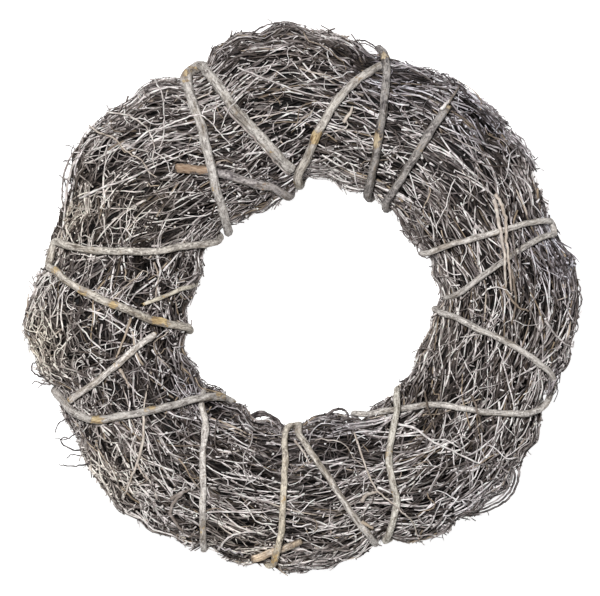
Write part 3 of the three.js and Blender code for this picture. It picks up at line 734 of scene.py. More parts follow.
def makeRod(name, rod):
    route = rodRoutes[name]
    along = lengthAlong(surfacePoints(*route.T))
    rings = np.linspace(0, along[-1], int(along[-1] / (rodDetail["step"] * mm)))
    route = np.stack([np.interp(rings, along, route[:, k]) for k in range(3)], -1)
    points = surfacePoints(*route.T)
    outward = surfacePoints(route[:, 0], route[:, 1], route[:, 2] + 1) - points
    ahead, up, sideways = crossDirections(points, outward)
    points = points + rodDetail["sway"] * mm * (wander(rings, rodDetail["swayWave"])[:, None] * sideways)
    turn = np.linspace(0, 2 * math.pi, rodDetail["sides"], endpoint=False)
    size = 1 + rodDetail["lumps"] * wander(rings, rodDetail["lumpWave"])
    swollen, torn = swellKnots(rod["knots"], points, rings, turn)
    thick = np.interp(rings, (0, rings[-1]), rod["radius"]) * mm
    radius = (thick * size)[:, None] * (1 + swollen)
    for waves in rodDetail["furrowWaves"]:
        lean = wander(rings, rodDetail["swayWave"])[:, None] * rodDetail["furrowLean"]
        radius *= 1 + rodDetail["furrows"] * np.sin(waves * turn + lean + draw.uniform(0, 6)) / waves**0.4
    radius *= 1 + rodDetail["grit"] * draw.standard_normal(radius.shape)
    spokes = np.cos(turn)[None, :, None] * sideways[:, None] + np.sin(turn)[None, :, None] * up[:, None]
    skin = points[:, None] + radius[..., None] * spokes
    shapeEnds(rod["ends"], skin, points, ahead, torn)
    vertices = np.vstack([skin.reshape(-1, 3), points[0], points[-1]])
    sides = len(turn)
    far = np.repeat(rings[:, None], sides, axis=1)
    barkPlace = np.stack([thick[:, None] * np.cos(turn), thick[:, None] * np.sin(turn), far], -1)
    capPlaces = [[0, 0, rings[0]], [0, 0, rings[-1]]]
    barkPlace = np.vstack([barkPlace.reshape(-1, 3), capPlaces]) + draw.uniform(0, 1, 3)
    tones = {"torn": np.concatenate([torn.ravel(), [1, 1]])}
    for label in ("warm", "shade"):
        values = np.interp(rings, np.linspace(0, rings[-1], len(rod[label])), rod[label])
        tones[label] = np.concatenate([np.repeat(values, sides), values[[0, -1]]])
    return meshObject(name + "_bark", vertices, rodFaces(len(rings), sides), barks[rod["bark"]],
                      barkPlace=barkPlace, **tones)


for name, rod in rods.items():
    made = makeRod(name, rod)
    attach(made, "root")
    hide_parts(name)
print("rods ready:", len(rods))

# Twigs

# Layers of twigs, from the imported ones inside to the loose ones on top. Lengths, radii and lifts
# off the surface are in mm, astray, kink and wave in degrees off the twigs' lay
# The lower layers' low light and their deep share are painted shade inside the pile
twigLayers = {
    "packed": {"count": 2000, "lift": (-5.6, -3.4), "length": (40, 90), "radius": (0.7, 1.25), "sides": 3,
               "steps": 8, "astray": 12, "kink": 3, "wave": 5, "weave": 0.6, "light": (0.0, 0.2),
               "deep": 0.95},
    "middle": {"count": 3300, "lift": (-3.6, -1.4), "length": (30, 75), "radius": (0.6, 1.1), "sides": 3,
               "steps": 8, "astray": 17, "kink": 3.5, "wave": 5, "weave": 1.0, "light": (0.0, 0.5),
               "deep": 0.68},
    "upper": {"count": 4000, "lift": (-1.9, 0.6), "length": (20, 64), "radius": (0.42, 1.0), "steps": 8,
              "astray": 19, "kink": 5, "wave": 10, "weave": 1.2, "light": (0.15, 1.0)},
    "loose": {"count": 1000, "lift": (-0.4, 1.4), "length": (14, 55), "radius": (0.35, 0.7), "steps": 10,
              "astray": 48, "kink": 13, "wave": 55, "weave": 1.4, "rise": 2.0, "light": (0.25, 1.0)},
    "bristle": {"count": 1500, "lift": (-1.4, 0.8), "length": (4, 15), "radius": (0.35, 0.65), "steps": 4,
                "astray": 60, "kink": 24, "wave": 40, "weave": 0.8, "rise": 4.5, "light": (0.2, 0.95)},
    "rimEnds": {"count": 840, "tuft": 6, "sections": (-30, 48), "lift": (-2.4, 0.4), "length": (7, 22),
                "radius": (0.45, 0.85), "steps": 5, "astray": 22, "kink": 14, "wave": 20, "weave": 0.8,
                "rise": 6.0, "light": (0.1, 0.8)},
    "holeEnds": {"count": 300, "tuft": 5, "sections": (148, 200), "lift": (-2.4, 0.4), "length": (6, 16),
                 "radius": (0.4, 0.75), "steps": 5, "astray": 22, "kink": 14, "wave": 20, "weave": 0.8,
                 "rise": 4.0, "light": (0.1, 0.7)},
}
plainTwig = {"sides": 4, "rise": 0, "deep": 0.0}  # what a layer has where it names nothing else

# How the twigs lie: ring angle, degrees that they turn off the ring's direction, and how messy they are
layZones = [
    (0, 0, 0.8), (30, 4, 0.8), (60, 0, 0.9), (90, 0, 1.0), (112, -8, 0.8), (128, -30, 0.9), (148, -38, 1.2),
    (162, -18, 1.6), (180, 0, 2.2), (200, 4, 2.1), (222, 0, 1.6), (250, 0, 1.0), (270, 0, 1.0),
    (300, 4, 1.3), (320, 6, 1.3), (340, -4, 0.8), (360, 0, 0.8),
]
backStart, backShare = -0.3, 0.4  # how far up the back begins, and twigs there for each one on the front
tuftSpread = (1.2, 7)  # degrees of angle and of section that the twigs of a tuft lie apart

# How a twig grows: how the lengths of a layer spread, how strongly and how often it sways, the mm of its
# weave, and how much of a kink it keeps at the next step
growth = {"lengths": (1.3, 2), "sway": (0.3, 1), "swing": (3, 8), "weaveLength": 9, "kinkKept": 0.8}


def layAt(angle):
    turned = np.mod(angle, 360)
    zones = np.array(layZones, float)
    return np.interp(turned, zones[:, 0], zones[:, 1]), np.interp(turned, zones[:, 0], zones[:, 2])


# Places spread evenly over the ring's skin, fewer on its back, or in tufts on one side of it
def choosePlaces(look):
    count = look["count"]
    if "tuft" in look:
        tufts = count // look["tuft"]
        angle = np.repeat(draw.uniform(0, 360, tufts), look["tuft"])
        section = np.repeat(draw.uniform(*look["sections"], tufts), look["tuft"])
        apart = [draw.normal(0, spread, len(angle)) for spread in tuftSpread]
        return angle + apart[0], section + apart[1]
    angle, section = draw.uniform(0, 360, (2, count * 6))  # six to choose each one from
    middle, halfWidth, halfThick = ringAt(angle)
    across, up = np.cos(np.radians(section)), np.sin(np.radians(section))
    weight = (middle + halfWidth * across) * np.hypot(halfWidth * up, halfThick * across)
    weight *= np.where(up > backStart, 1, backShare)
    chosen = draw.choice(len(angle), count, replace=False, p=weight / weight.sum())
    return angle[chosen], section[chosen]


# Twigs as lines of points on the ring: all of a layer step forward together
def growTwigs(look, angle, section, turned=0):
    count, steps = len(angle), look["steps"]
    length = look["length"][0] + np.diff(look["length"]) * draw.beta(*growth["lengths"], count)
    heading = draw.normal(0, look["astray"], count) + turned
    sway = draw.uniform(*growth["sway"], count) * look["wave"]
    swing = draw.uniform(*growth["swing"], count)
    phase = draw.uniform(0, 2 * math.pi, (2, count))
    forward = np.where(draw.random(count) < 0.5, 1, -1)
    stride = length / (steps - 1)
    lift = draw.uniform(*look["lift"], count)
    rise = draw.uniform(0, look["rise"], count)
    kinked = np.zeros(count)
    route = np.zeros((count, steps, 3))
    for i in range(steps):
        t = i / (steps - 1)
        height = lift + rise * t**2 + look["weave"] * np.sin(phase[1] + t * length / growth["weaveLength"])
        route[:, i] = np.stack([angle, section, height], -1)
        lay, mess = layAt(angle)
        middle, halfWidth, halfThick = ringAt(angle)
        across, up = np.cos(np.radians(section)), np.sin(np.radians(section))
        kinked = growth["kinkKept"] * kinked + draw.normal(0, look["kink"], count) * np.sqrt(mess)
        swayed = heading + sway * np.sin(phase[0] + t * swing)
        way = np.radians(lay * np.maximum(0, up) + swayed * mess + kinked)
        angle = angle + forward * np.cos(way) * stride / (middle + halfWidth * across) * 180 / math.pi
        girth = np.hypot(halfWidth * up, halfThick * across)
        section = section + forward * np.sin(way) * stride / girth * 180 / math.pi
    return route


# How much lower the fine twigs lie than the ring's surface, in mm
sink = {"front": 0.8, "outerRim": 1.4, "hole": 0.6}


# Twigs follow the feet, the rods' pressing, the swells and the hollows, which also darken them as painted
# shade
def settle(route):
    angle, section = route[..., 0], route[..., 1]
    across = np.cos(np.radians(section))
    dent = readGrid(hollowGrid, angle, section)
    lift = route[..., 2] + footAt(angle, section) - readGrid(pressGrid, angle, section) - dent
    lift = lift + readGrid(swellGrid, angle, section)
    lift = lift - sink["front"] - sink["outerRim"] * np.maximum(across, 0) ** 2
    lift = lift - sink["hole"] * np.maximum(-across, 0) ** 2
    return np.stack([angle, section, lift], -1), dent


# Rings of corners round every point of every twig of a layer, with their bark places and tones
def skinTwigs(points, outward, radius, sides, tone):
    points[..., 2] = np.maximum(points[..., 2], radius)  # none goes through the ground
    _, up, sideways = crossDirections(points, outward)
    turn = np.arange(sides) * 2 * math.pi / sides + math.pi / 4
    spokes = np.cos(turn)[:, None] * sideways[..., None, :] + np.sin(turn)[:, None] * up[..., None, :]
    skin = points[..., None, :] + radius[..., None, None] * spokes
    along = np.cumsum(np.linalg.norm(np.diff(points, axis=1, prepend=points[:, :1]), axis=-1), axis=1)
    along = along + draw.uniform(0, 5, (len(points), 1))
    barkPlace = np.stack(np.broadcast_arrays(
        radius[..., None] * np.cos(turn), radius[..., None] * np.sin(turn), along[..., None]), -1)
    toneAll = np.broadcast_to(tone[:, :, None, :], (*skin.shape[:3], 4))
    return skin, barkPlace, toneAll


bunchNames = ["bunch_%02d" % (k + 1) for k in range(ring["bunches"])]
gathered = {name: [] for name in bunchNames}


# Each stretch of a twig goes to the bunch it lies in, and neighbours meet there ring to ring
def shareOut(skin, barkPlace, tone):
    count, steps, sides = skin.shape[:3]
    bunchSpan = 360 / ring["bunches"]
    centres = skin.mean(axis=2)
    centres = (centres[:, 1:] + centres[:, :-1]) / 2 - np.array([*ring["centre"], 0]) * mm
    middleAngle = np.degrees(np.arctan2(centres[..., 1], centres[..., 0]))
    owner = (np.mod(middleAngle - ring["firstCut"], 360) // bunchSpan).astype(int)
    corners = np.arange(count * steps * sides).reshape(count, steps, sides)
    walls = wallsBetween(corners)
    for k, name in enumerate(bunchNames):
        mine = owner == k
        starts = mine & ~np.pad(mine, ((0, 0), (1, 0)))[:, :-1]
        ends = mine & ~np.pad(mine, ((0, 0), (0, 1)))[:, 1:]
        capsStart = corners[:, :-1][starts][:, ::-1]
        capsEnd = corners[:, 1:][ends]
        quads = walls[mine]
        allCorners = np.concatenate([quads.ravel(), capsStart.ravel(), capsEnd.ravel()])
        used, order = np.unique(allCorners, return_inverse=True)
        faces = order[:quads.size].reshape(-1, 4).tolist()
        faces += order[quads.size:].reshape(-1, sides).tolist()
        gathered[name].append((skin.reshape(-1, 3)[used], faces, barkPlace.reshape(-1, 3)[used],
                               tone.reshape(-1, 4)[used]))


# How evenly the twigs of a layer spread from dark to light, how much a twig changes along its length, for
# each mm that it dips and in a hollow, both painted shade, and how ochre the brown ones and the rest are
twigTones = {
    "spread": 0.6, "mottle": 0.08, "mottleStep": (0.6, 1.8), "dip": 0.1, "hollow": 0.1,
    "brownShare": 0.05, "brown": (0.3, 0.8), "plain": 0.1,
}
twigForm = {"taper": 0.5, "bumps": 0.1}


def addTwigs(grown, look):
    route, dent = settle(grown)
    count, steps = route.shape[:2]
    root = draw.uniform(*look["radius"], count)[:, None] * mm
    taper = np.linspace(1, twigForm["taper"], steps)[None, :]
    taper = np.where((draw.random(count) < 0.5)[:, None], taper[:, ::-1], taper)
    radius = root * taper * (1 + twigForm["bumps"] * draw.standard_normal((count, steps)))
    tone = np.empty((count, steps, 4))
    phase = draw.uniform(0, 2 * math.pi, (count, 1))
    mottle = np.sin(phase + np.arange(steps) * draw.uniform(*twigTones["mottleStep"], (count, 1)))
    dip = grown[..., 2] - grown[..., 2].mean(axis=1, keepdims=True)
    low, high = look["light"]
    tone[..., 0] = low + (high - low) * draw.beta(twigTones["spread"], twigTones["spread"], (count, 1))
    # painted shade: a twig is darker where it dips below its own mean height and where it lies in a hollow
    tone[..., 0] += twigTones["mottle"] * mottle + twigTones["dip"] * dip
    tone[..., 0] += readGrid(lightGrid, route[..., 0], route[..., 1]) - twigTones["hollow"] * dent
    tone[..., 0] = np.clip(tone[..., 0], 0, 1)
    brown = draw.random(count) < twigTones["brownShare"]
    ochre = np.where(brown, draw.uniform(*twigTones["brown"], count), twigTones["plain"] * draw.random(count))
    tone[..., 1] = ochre[:, None]
    tone[..., 2] = look["deep"]
    tone[..., 3] = np.clip(0.5 + readGrid(warmGrid, route[..., 0], route[..., 1]) / 2, 0, 1)
    angle, section, lift = np.moveaxis(route, -1, 0)
    points = surfacePoints(angle, section, lift)
    outward = surfacePoints(angle, section, lift + 1) - points
    shareOut(*skinTwigs(points, outward, radius, look["sides"], tone))


# Side shoots that leave a share of the twigs, at a fork of some degrees
shootLook = {
    **plainTwig, "share": 0.3, "fork": (22, 50), "lift": (-0.2, 0.8), "length": (6, 24), "radius": (0.3, 0.5),
    "sides": 3, "steps": 5, "astray": 8, "kink": 10, "wave": 10, "weave": 0.8, "light": (0.3, 1.0),
}

for layer, look in twigLayers.items():
    look = {**plainTwig, **look}
    route = growTwigs(look, *choosePlaces(look))
    addTwigs(route, look)
    if layer in ("upper", "loose"):
        forked = draw.random(len(route)) < shootLook["share"]
        count = forked.sum()
        fork = route[forked][np.arange(count), draw.integers(1, look["steps"] - 1, count)]
        turned = draw.uniform(*shootLook["fork"], count) * draw.choice([-1, 1], count)
        addTwigs(growTwigs(shootLook, fork[:, 0], fork[:, 1], turned), shootLook)

# Cut ends that point outwards: many short stubs, and some with the white wood turned to the front
# deep is painted shade here too, as for the layers
stubLooks = {
    "stubs": {"count": 1600, "lift": (-2.6, -0.6), "length": (2.2, 5.5), "radius": (0.45, 0.95), "sides": 5,
              "lean": (20, 75), "light": (0.5, 1.0), "deep": 0.1},
    "whiteEnds": {"count": 520, "lift": (-1.4, 0.4), "length": (1.4, 3.0), "radius": (0.55, 1.05), "sides": 6,
                  "lean": (0, 40), "light": (0.96, 1.1), "deep": 0.0},
}


def addStubs(look):
    angle, section = choosePlaces(look)
    low = draw.uniform(*look["lift"], len(angle))
    length = draw.uniform(*look["length"], len(angle))
    lean = np.radians(draw.uniform(*look["lean"], len(angle)))
    way = draw.uniform(0, 2 * math.pi, len(angle))
    middle, _, halfThick = ringAt(angle)
    slide = length * np.sin(lean)
    root = np.stack([angle, section, low], -1)
    tip = root + np.stack([slide * np.cos(way) / middle * 180 / math.pi,
                           slide * np.sin(way) / halfThick * 180 / math.pi, length * np.cos(lean)], -1)
    addTwigs(np.stack([root, tip], 1), look)


for look in stubLooks.values():
    addStubs(look)

# Twigs that stand out in the photo, on the front: radius in mm, how light and how ochre, and the points as
# x, y from the ring's middle and the lift off the twigs, in mm
frontTwigs = {
    "pale_over_hairpin": (0.7, 0.95, 0.1, [
        (-127, 106, 0.5), (-111, 119, 1), (-100, 122, 1.2), (-86, 128, 2.5), (-74, 130, 5.0),
        (-66, 125, 4.6), (-59, 117, 2), (-51, 109, 0.5)]),
    "pale_arch_upper_left": (0.65, 0.9, 0.1, [
        (-107, 157, 0.4), (-105, 153, 0.9), (-101, 145, 1.3), (-100, 132, 1.5), (-100, 116, 1.5),
        (-103, 108, 1), (-108, 104, 0.3)]),
    "pale_loop_upper_left": (0.75, 0.9, 0.25, [
        (-141, 133, 0.3), (-136, 132, 1.2), (-125, 130, 1.6), (-114, 123, 1.8), (-109, 116, 1.6),
        (-107, 108, 1.2), (-108, 101, 0.8), (-107, 93, 0)]),
    "long_pale_row": (0.85, 0.9, 0.1, [
        (-161, 71, 0.2), (-143, 79, 1), (-125, 85, 1.4), (-111, 92, 1.3), (-100, 97, 1.3), (-85, 103, 1.2),
        (-76, 107, 0.2)]),
    "yellow_curl": (0.7, 0.9, 0.55, [
        (-153, 123, 1.6), (-147, 118, 1.6), (-136, 114, 1.5), (-127, 105, 1.3), (-116, 98, 1.2),
        (-111, 90, 0.9), (-105, 86, 0.2)]),
    "pale_row_top": (0.8, 0.85, 0.05, [
        (-47, 165, 0.6), (-30, 158, 1.3), (-9, 150, 1.6), (9, 145, 1.3), (22, 143, 0.8)]),
    "pale_slant_top": (0.8, 0.8, 0.05, [
        (-47, 144, 0.4), (-41, 150, 1.2), (-33, 157, 1.4), (-25, 163, 1.4), (-20, 171, 0.5)]),
    "pale_over_thick_strand": (0.65, 0.9, 0.1, [
        (-43, 146, 1.2), (-48, 140, 5.4), (-54, 133, 4.6), (-59, 121, 0.8)]),
    "tan_pair_left": (1.6, 0.95, 0.5, [
        (137, 70, 1.2), (139, 64, 1.8), (140, 54, 3.6), (142, 46, 5.2), (143, 38, 4.4), (145, 30, 5.2),
        (145, 22, 4), (146, 7, 0.8)]),
    "tan_pair_right": (1.5, 0.9, 0.58, [
        (138, 74, 1.2), (142, 67, 1.8), (145, 57, 3.8), (145, 48, 5.4), (146, 38, 4.6), (147, 31, 5.4),
        (148, 21, 4), (150, 4, 0.8)]),
    "rusty_below_pair_a": (1.2, 0.35, 0.3, [(150, 20, 1), (152, 8, 1.8), (153, -6, 2), (150, -20, 1.4)]),
    "rusty_below_pair_b": (1.0, 0.45, 0.45, [(144, 8, 1), (150, -2, 2), (156, -8, 2), (163, -10, 1)]),
    "chip_at_broken_end": (1.5, 1.0, 0.1, [(99, 134, 3.2), (102, 138, 3.6), (105, 141, 2)]),
    "past_broken_end": (1.0, 0.4, 0.2, [(104, 139, 2), (109, 146, 2), (113, 153, 0.8)]),
    "yellow_chip_top": (1.6, 1.0, 0.6, [(29, 126, 1), (33, 131, 2.2), (36, 137, 1.4)]),
    "small_pale_arch": (0.6, 0.95, 0.1, [
        (129, 1, 0.2), (134, 6, 1.6), (140, 7, 2.2), (146, 5, 2), (151, 1, 0.4)]),
    "ochre_left": (1.1, 0.75, 0.7, [
        (-124, -15, 0.6), (-128, -27, 1.4), (-132, -37, 1.4), (-134, -44, 0.6)]),
    "tan_left": (1.3, 0.8, 0.55, [(-132, -52, 0.8), (-128, -59, 1.6), (-125, -65, 0.8)]),
    "tan_lower_left": (1.15, 0.95, 0.55, [
        (-115, -85, 0.8), (-115, -103, 1.8), (-120, -122, 2), (-125, -134, 1.8), (-129, -145, 0.6)]),
    "tan_lower_left_fork": (0.8, 0.9, 0.5, [(-119, -119, 1.6), (-116, -126, 2), (-111, -132, 0.6)]),
    "bright_forked": (1.05, 1.0, 0.05, [
        (69, -92, 1), (81, -95, 1.6), (92, -103, 1.8), (108, -111, 2), (125, -119, 2.4)]),
    "bright_fork": (0.7, 0.9, 0.05, [(92, -103, 1.6), (102, -103, 2), (112, -108, 1.2)]),
    "tan_lower_right": (0.8, 0.9, 0.5, [
        (37, -98, 0.6), (43, -116, 1.3), (51, -136, 1.6), (58, -143, 3.4), (65, -148, 5.0), (72, -155, 3.6),
        (79, -162, 1.4), (84, -177, 0.4)]),
    "torn_bit": (1.7, 0.9, 0.8, [(42, -161, 1.8), (46, -163, 2.8), (50, -166, 1.6)]),
    "leaf_bit": (1.7, 0.8, 0.4, [(42, -147, 1.6), (46, -142, 2.6), (53, -140, 1.6)]),
    "dark_over_lower_right_a": (0.9, 0.3, 0.2, [
        (88, -68, 1), (90, -74, 4), (91, -80, 4.9), (93, -87, 3), (95, -96, 0.6)]),
    "dark_over_lower_right_b": (0.9, 0.35, 0.25, [
        (121, -71, 1), (124, -77, 4), (125, -82, 4.9), (127, -88, 3), (130, -97, 0.6)]),
    "forked_stub": (1.5, 0.62, 0.2, [(-95, -145, 1), (-88, -141, 2.2), (-81, -138, 2)]),
    "forked_stub_tail": (1.4, 0.62, 0.2, [
        (-87, -141, 1.8), (-93, -148, 2.2), (-95, -155, 2), (-91, -162, 1.8), (-86, -169, 0.6)]),
    "pale_arch_bottom": (0.9, 0.9, 0.15, [
        (-61, -182, 0.4), (-56, -175, 1.6), (-48, -170, 2), (-33, -169, 0.8)]),
    "pale_row_bottom": (0.75, 0.9, 0.1, [
        (-69, -155, 0.8), (-53, -154, 1.5), (-35, -155, 1.6), (-19, -153, 0.6)]),
    "thin_loop_bottom": (0.5, 0.8, 0.05, [
        (-41, -95, 0.6), (-37, -99, 1.6), (-38, -107, 1.8), (-42, -112, 1.8), (-43, -122, 1.6),
        (-38, -134, 0.4)]),
    "stub_by_hairpin": (1.0, 0.9, 0.4, [(-6, -104, 1), (0, -112, 1.8), (5, -120, 0.8)]),
    "split_strip": (1.1, 0.72, 0.15, [
        (-57, 137, 0.5), (-49, 128, 1.8), (-36, 115, 2), (-23, 101, 2), (-13, 91, 1), (-9, 88, -0.5)]),
    "over_hairpin_a": (0.9, 0.45, 0.1, [
        (151, 50, 0.5), (151, 40, 3), (152, 30, 4.8), (153, 20, 3), (153, 10, 0.5)]),
    "over_hairpin_b": (0.8, 0.35, 0, [
        (156, 47, 0.5), (155, 39, 3), (155, 31, 4.8), (156, 22, 3), (158, 8, 0.5)]),
    "over_hairpin_c": (0.7, 0.6, 0, [
        (147, 46, 0.5), (149, 38, 3), (151, 28, 4.9), (155, 18, 3), (157, 6, 0.5)]),
    "curve_right": (0.8, 0.8, 0.05, [
        (174, -17, 1), (180, -26, 1.6), (187, -33, 1.8), (195, -36, 1.2), (197, -32, 0.6)]),
}

# Strays that leave the outline or reach into the hole: radius, how light, how ochre, how many twiglets, and
# the points as x, y. The first point of each is rooted among the twigs
strayTwigs = {
    "stray_top_left": (0.55, 0.3, 0, 0, [(-61, 160), (-63, 166), (-65, 171), (-66, 179), (-65, 182)]),
    "arch_top_left": (0.5, 0.3, 0, 0, [(-103, 151), (-109, 156), (-106, 158), (-102, 157)]),
    "arch_top_a": (0.8, 0.5, 0, 3, [
        (-48, 181), (-41, 187), (-33, 193), (-24, 197), (-14, 198), (-5, 196), (3, 191)]),
    "arch_top_b": (0.7, 0.6, 0, 0, [(-44, 180), (-37, 186), (-29, 190), (-19, 193), (-9, 193), (0, 190)]),
    "arch_top_c": (0.7, 0.4, 0, 0, [(-36, 182), (-31, 188), (-24, 194), (-15, 197), (-6, 198)]),
    "arch_top_right_a": (0.8, 0.35, 0, 0, [(30, 181), (38, 185), (45, 185), (52, 181), (58, 175)]),
    "arch_top_right_b": (0.7, 0.5, 0, 0, [(34, 179), (41, 183), (48, 182), (54, 177)]),
    "tip_upper_left": (0.7, 0.6, 0, 0, [(-135, 124), (-138, 131), (-142, 139)]),
    "tip_left_a": (0.55, 0.3, 0, 0, [(-160, 98), (-167, 99), (-174, 98)]),
    "tip_left_b": (0.6, 0.4, 0, 0, [(-169, 67), (-171, 77), (-173, 88), (-171, 93)]),
    "tip_left_c": (0.6, 0.4, 0, 0, [(-173, 41), (-175, 52), (-174, 63), (-171, 73)]),
    "hook_left": (0.85, 0.35, 0, 4, [
        (-152, -62), (-166, -61), (-180, -59), (-191, -57), (-196, -53), (-195, -48), (-190, -46)]),
    "hook_left_b": (0.7, 0.5, 0, 0, [(-158, -64), (-176, -62), (-187, -63), (-193, -61), (-196, -63)]),
    "hook_left_c": (0.65, 0.6, 0, 0, [(-160, -52), (-172, -56), (-184, -60), (-192, -66)]),
    "stray_lower_left_a": (0.7, 0.3, 0, 0, [(-162, -88), (-171, -88), (-177, -92), (-179, -98)]),
    "curl_lower_left": (0.7, 0.3, 0, 0, [
        (-152, -108), (-163, -111), (-171, -108), (-175, -104), (-172, -101), (-168, -103)]),
    "tip_lower_left_a": (0.6, 0.3, 0, 0, [(-152, -99), (-163, -99), (-172, -103), (-179, -102)]),
    "tip_lower_left_b": (0.65, 0.25, 0, 0, [(-148, -114), (-158, -115), (-167, -114), (-171, -117)]),
    "stray_lower_left_b": (0.8, 0.3, 0, 0, [(-146, -117), (-157, -121), (-168, -122), (-176, -121)]),
    "loop_lower_right_a": (1.1, 0.5, 0, 4, [
        (148, -112), (154, -120), (156, -131), (152, -141), (146, -148), (139, -152), (128, -156),
        (117, -157), (106, -157)]),
    "loop_lower_right_b": (1.0, 0.38, 0, 0, [
        (147, -118), (153, -128), (150, -139), (143, -147), (133, -152), (122, -155), (112, -155)]),
    "loop_lower_right_c": (0.9, 0.65, 0, 0, [
        (148, -120), (151, -130), (148, -138), (141, -146), (131, -151)]),
    "sweep_bottom_a": (0.8, 0.6, 0, 0, [
        (96, -158), (104, -163), (107, -168), (100, -171), (92, -174), (83, -174), (74, -171)]),
    "sweep_bottom_b": (0.7, 0.75, 0, 0, [
        (92, -161), (100, -166), (93, -171), (84, -175), (76, -174), (68, -169)]),
    "loop_at_hole_a": (0.7, 0.45, 0, 0, [
        (97, 63), (87, 60), (77, 56), (72, 50), (75, 43), (82, 41), (90, 46)]),
    "loop_at_hole_e": (0.65, 0.35, 0, 0, [(98, 54), (88, 55), (80, 52), (79, 46), (86, 44), (95, 49)]),
    "loop_at_hole_b": (0.7, 0.4, 0, 0, [(100, 45), (90, 43), (83, 38), (84, 31), (91, 28), (100, 32)]),
    "bark_curl_at_hole": (1.9, 0.3, 0, 4, [
        (-44, -98), (-39, -90), (-34, -86), (-27, -85), (-20, -88), (-15, -93), (-9, -99)]),
    "bark_curl_at_hole_b": (1.3, 0.4, 0, 0, [
        (-42, -93), (-38, -86), (-30, -83), (-24, -86), (-21, -92), (-17, -99)]),
    "loop_at_hole_c": (1.3, 0.35, 0, 0, [
        (8, -98), (12, -91), (17, -86), (22, -82), (28, -81), (32, -84), (32, -91), (29, -97)]),
    "loop_at_hole_d": (1.1, 0.3, 0, 0, [(14, -98), (20, -91), (24, -87), (28, -88), (26, -95)]),
    "small_loop_at_hole": (0.5, 0.35, 0, 0, [(-73, -69), (-70, -64), (-64, -64), (-59, -67), (-64, -72)]),
    "spike_at_hole": (0.6, 0.3, 0, 0, [(102, 20), (97, 22), (91, 22)]),
    "curl_right": (0.75, 0.5, 0, 4, [(184, 22), (193, 18), (199, 10), (200, 2), (196, -5), (190, -4)]),
    "curl_right_b": (0.65, 0.4, 0, 0, [(183, 8), (193, 8), (200, 3), (201, -5), (195, -10), (188, -8)]),
    "curl_right_c": (0.6, 0.45, 0, 0, [(182, -12), (192, -12), (198, -18), (198, -25), (192, -27)]),
    "rim_strand_a": (1.1, 0.8, 0.15, 9, [
        (-155, 112), (-164, 100), (-169, 86), (-171.5, 70), (-173, 54), (-172, 43), (-164, 34)]),
    "rim_strand_b": (1.0, 0.85, 0.1, 9, [
        (-151, 108), (-160, 98), (-165, 84), (-168, 68), (-168, 52), (-162, 40)]),
    "rim_strand_c": (1.0, 0.7, 0.05, 9, [
        (-147, 108), (-155, 96), (-160, 80), (-163, 64), (-164, 48), (-156, 38)]),
    "rim_strand_d": (0.9, 0.6, 0.1, 9, [
        (-156, 112), (-166, 104), (-172, 92), (-174, 78), (-173, 66), (-164, 56)]),
    "rim_strand_e": (0.85, 0.7, 0.2, 9, [(-146, 104), (-155, 88), (-160, 72), (-161, 56), (-155, 46)]),
    "rim_strand_f": (0.9, 0.9, 0, 9, [(-138, 124), (-150, 116), (-160, 104), (-165, 92), (-162, 80)]),
    "rim_rung_a": (0.7, 0.7, 0, 0, [(-148, 86), (-158, 92), (-167, 95), (-173, 99)]),
    "rim_rung_b": (0.7, 0.6, 0, 0, [(-152, 70), (-161, 76), (-170, 84), (-176, 88)]),
    "rim_rung_c": (0.7, 0.75, 0, 0, [(-154, 62), (-163, 58), (-171, 60), (-177, 65)]),
    "rim_rung_d": (0.6, 0.6, 0, 0, [(-150, 98), (-160, 102), (-166, 108), (-172, 110)]),
    "tip_upper_right_a": (0.7, 0.35, 0, 0, [(142, 114), (147, 118), (151, 122)]),
    "tip_upper_right_b": (0.7, 0.35, 0, 0, [(160, 95), (165, 98), (170, 101)]),
    "tip_upper_right_c": (0.6, 0.35, 0, 0, [(161, 89), (166, 92), (172, 93)]),
}

# Bundles of twigs that end together at the outer rim: where they run from and to as x, y in mm, how many,
# how far apart in mm, and how light. Some name their own heights above the ground in mm
rimBundles = {
    "clump_top": {"from": (58, 166), "to": (99, 161), "count": 18, "spread": 4, "light": (0.15, 0.9)},
    "clump_top_right": {"from": (98, 158), "to": (118, 149), "count": 14, "spread": 4, "light": (0.15, 0.85)},
    "clump_upper_right": {"from": (122, 142), "to": (149, 122), "count": 20, "spread": 4,
                          "light": (0.15, 0.9)},
    "clump_right": {"from": (148, 118), "to": (170, 93), "count": 20, "spread": 4, "light": (0.2, 0.9)},
    "clump_lower_right": {"from": (178, -24), "to": (188, -50), "count": 12, "spread": 4,
                          "light": (0.1, 0.6)},
    "clump_over_bend": {"from": (182, -48), "to": (177, -75), "count": 14, "spread": 5, "light": (0.1, 0.8),
                        "heights": (40, 64)},
    "clump_bottom": {"from": (-45, -184), "to": (-66, -177), "count": 10, "spread": 3, "light": (0.3, 0.8)},
}
bundleLook = {
    "radius": (0.4, 0.85), "tip": 0.75, "heights": (34, 60), "bow": 2.5, "ragged": 7, "crooked": 0.75,
    "mottle": 0.06, "warm": 0.3, "steps": 9, "sides": 4,
}
facingUp = (0.0, 0.1, 1.0)  # leans a little, so that no twig runs straight along it


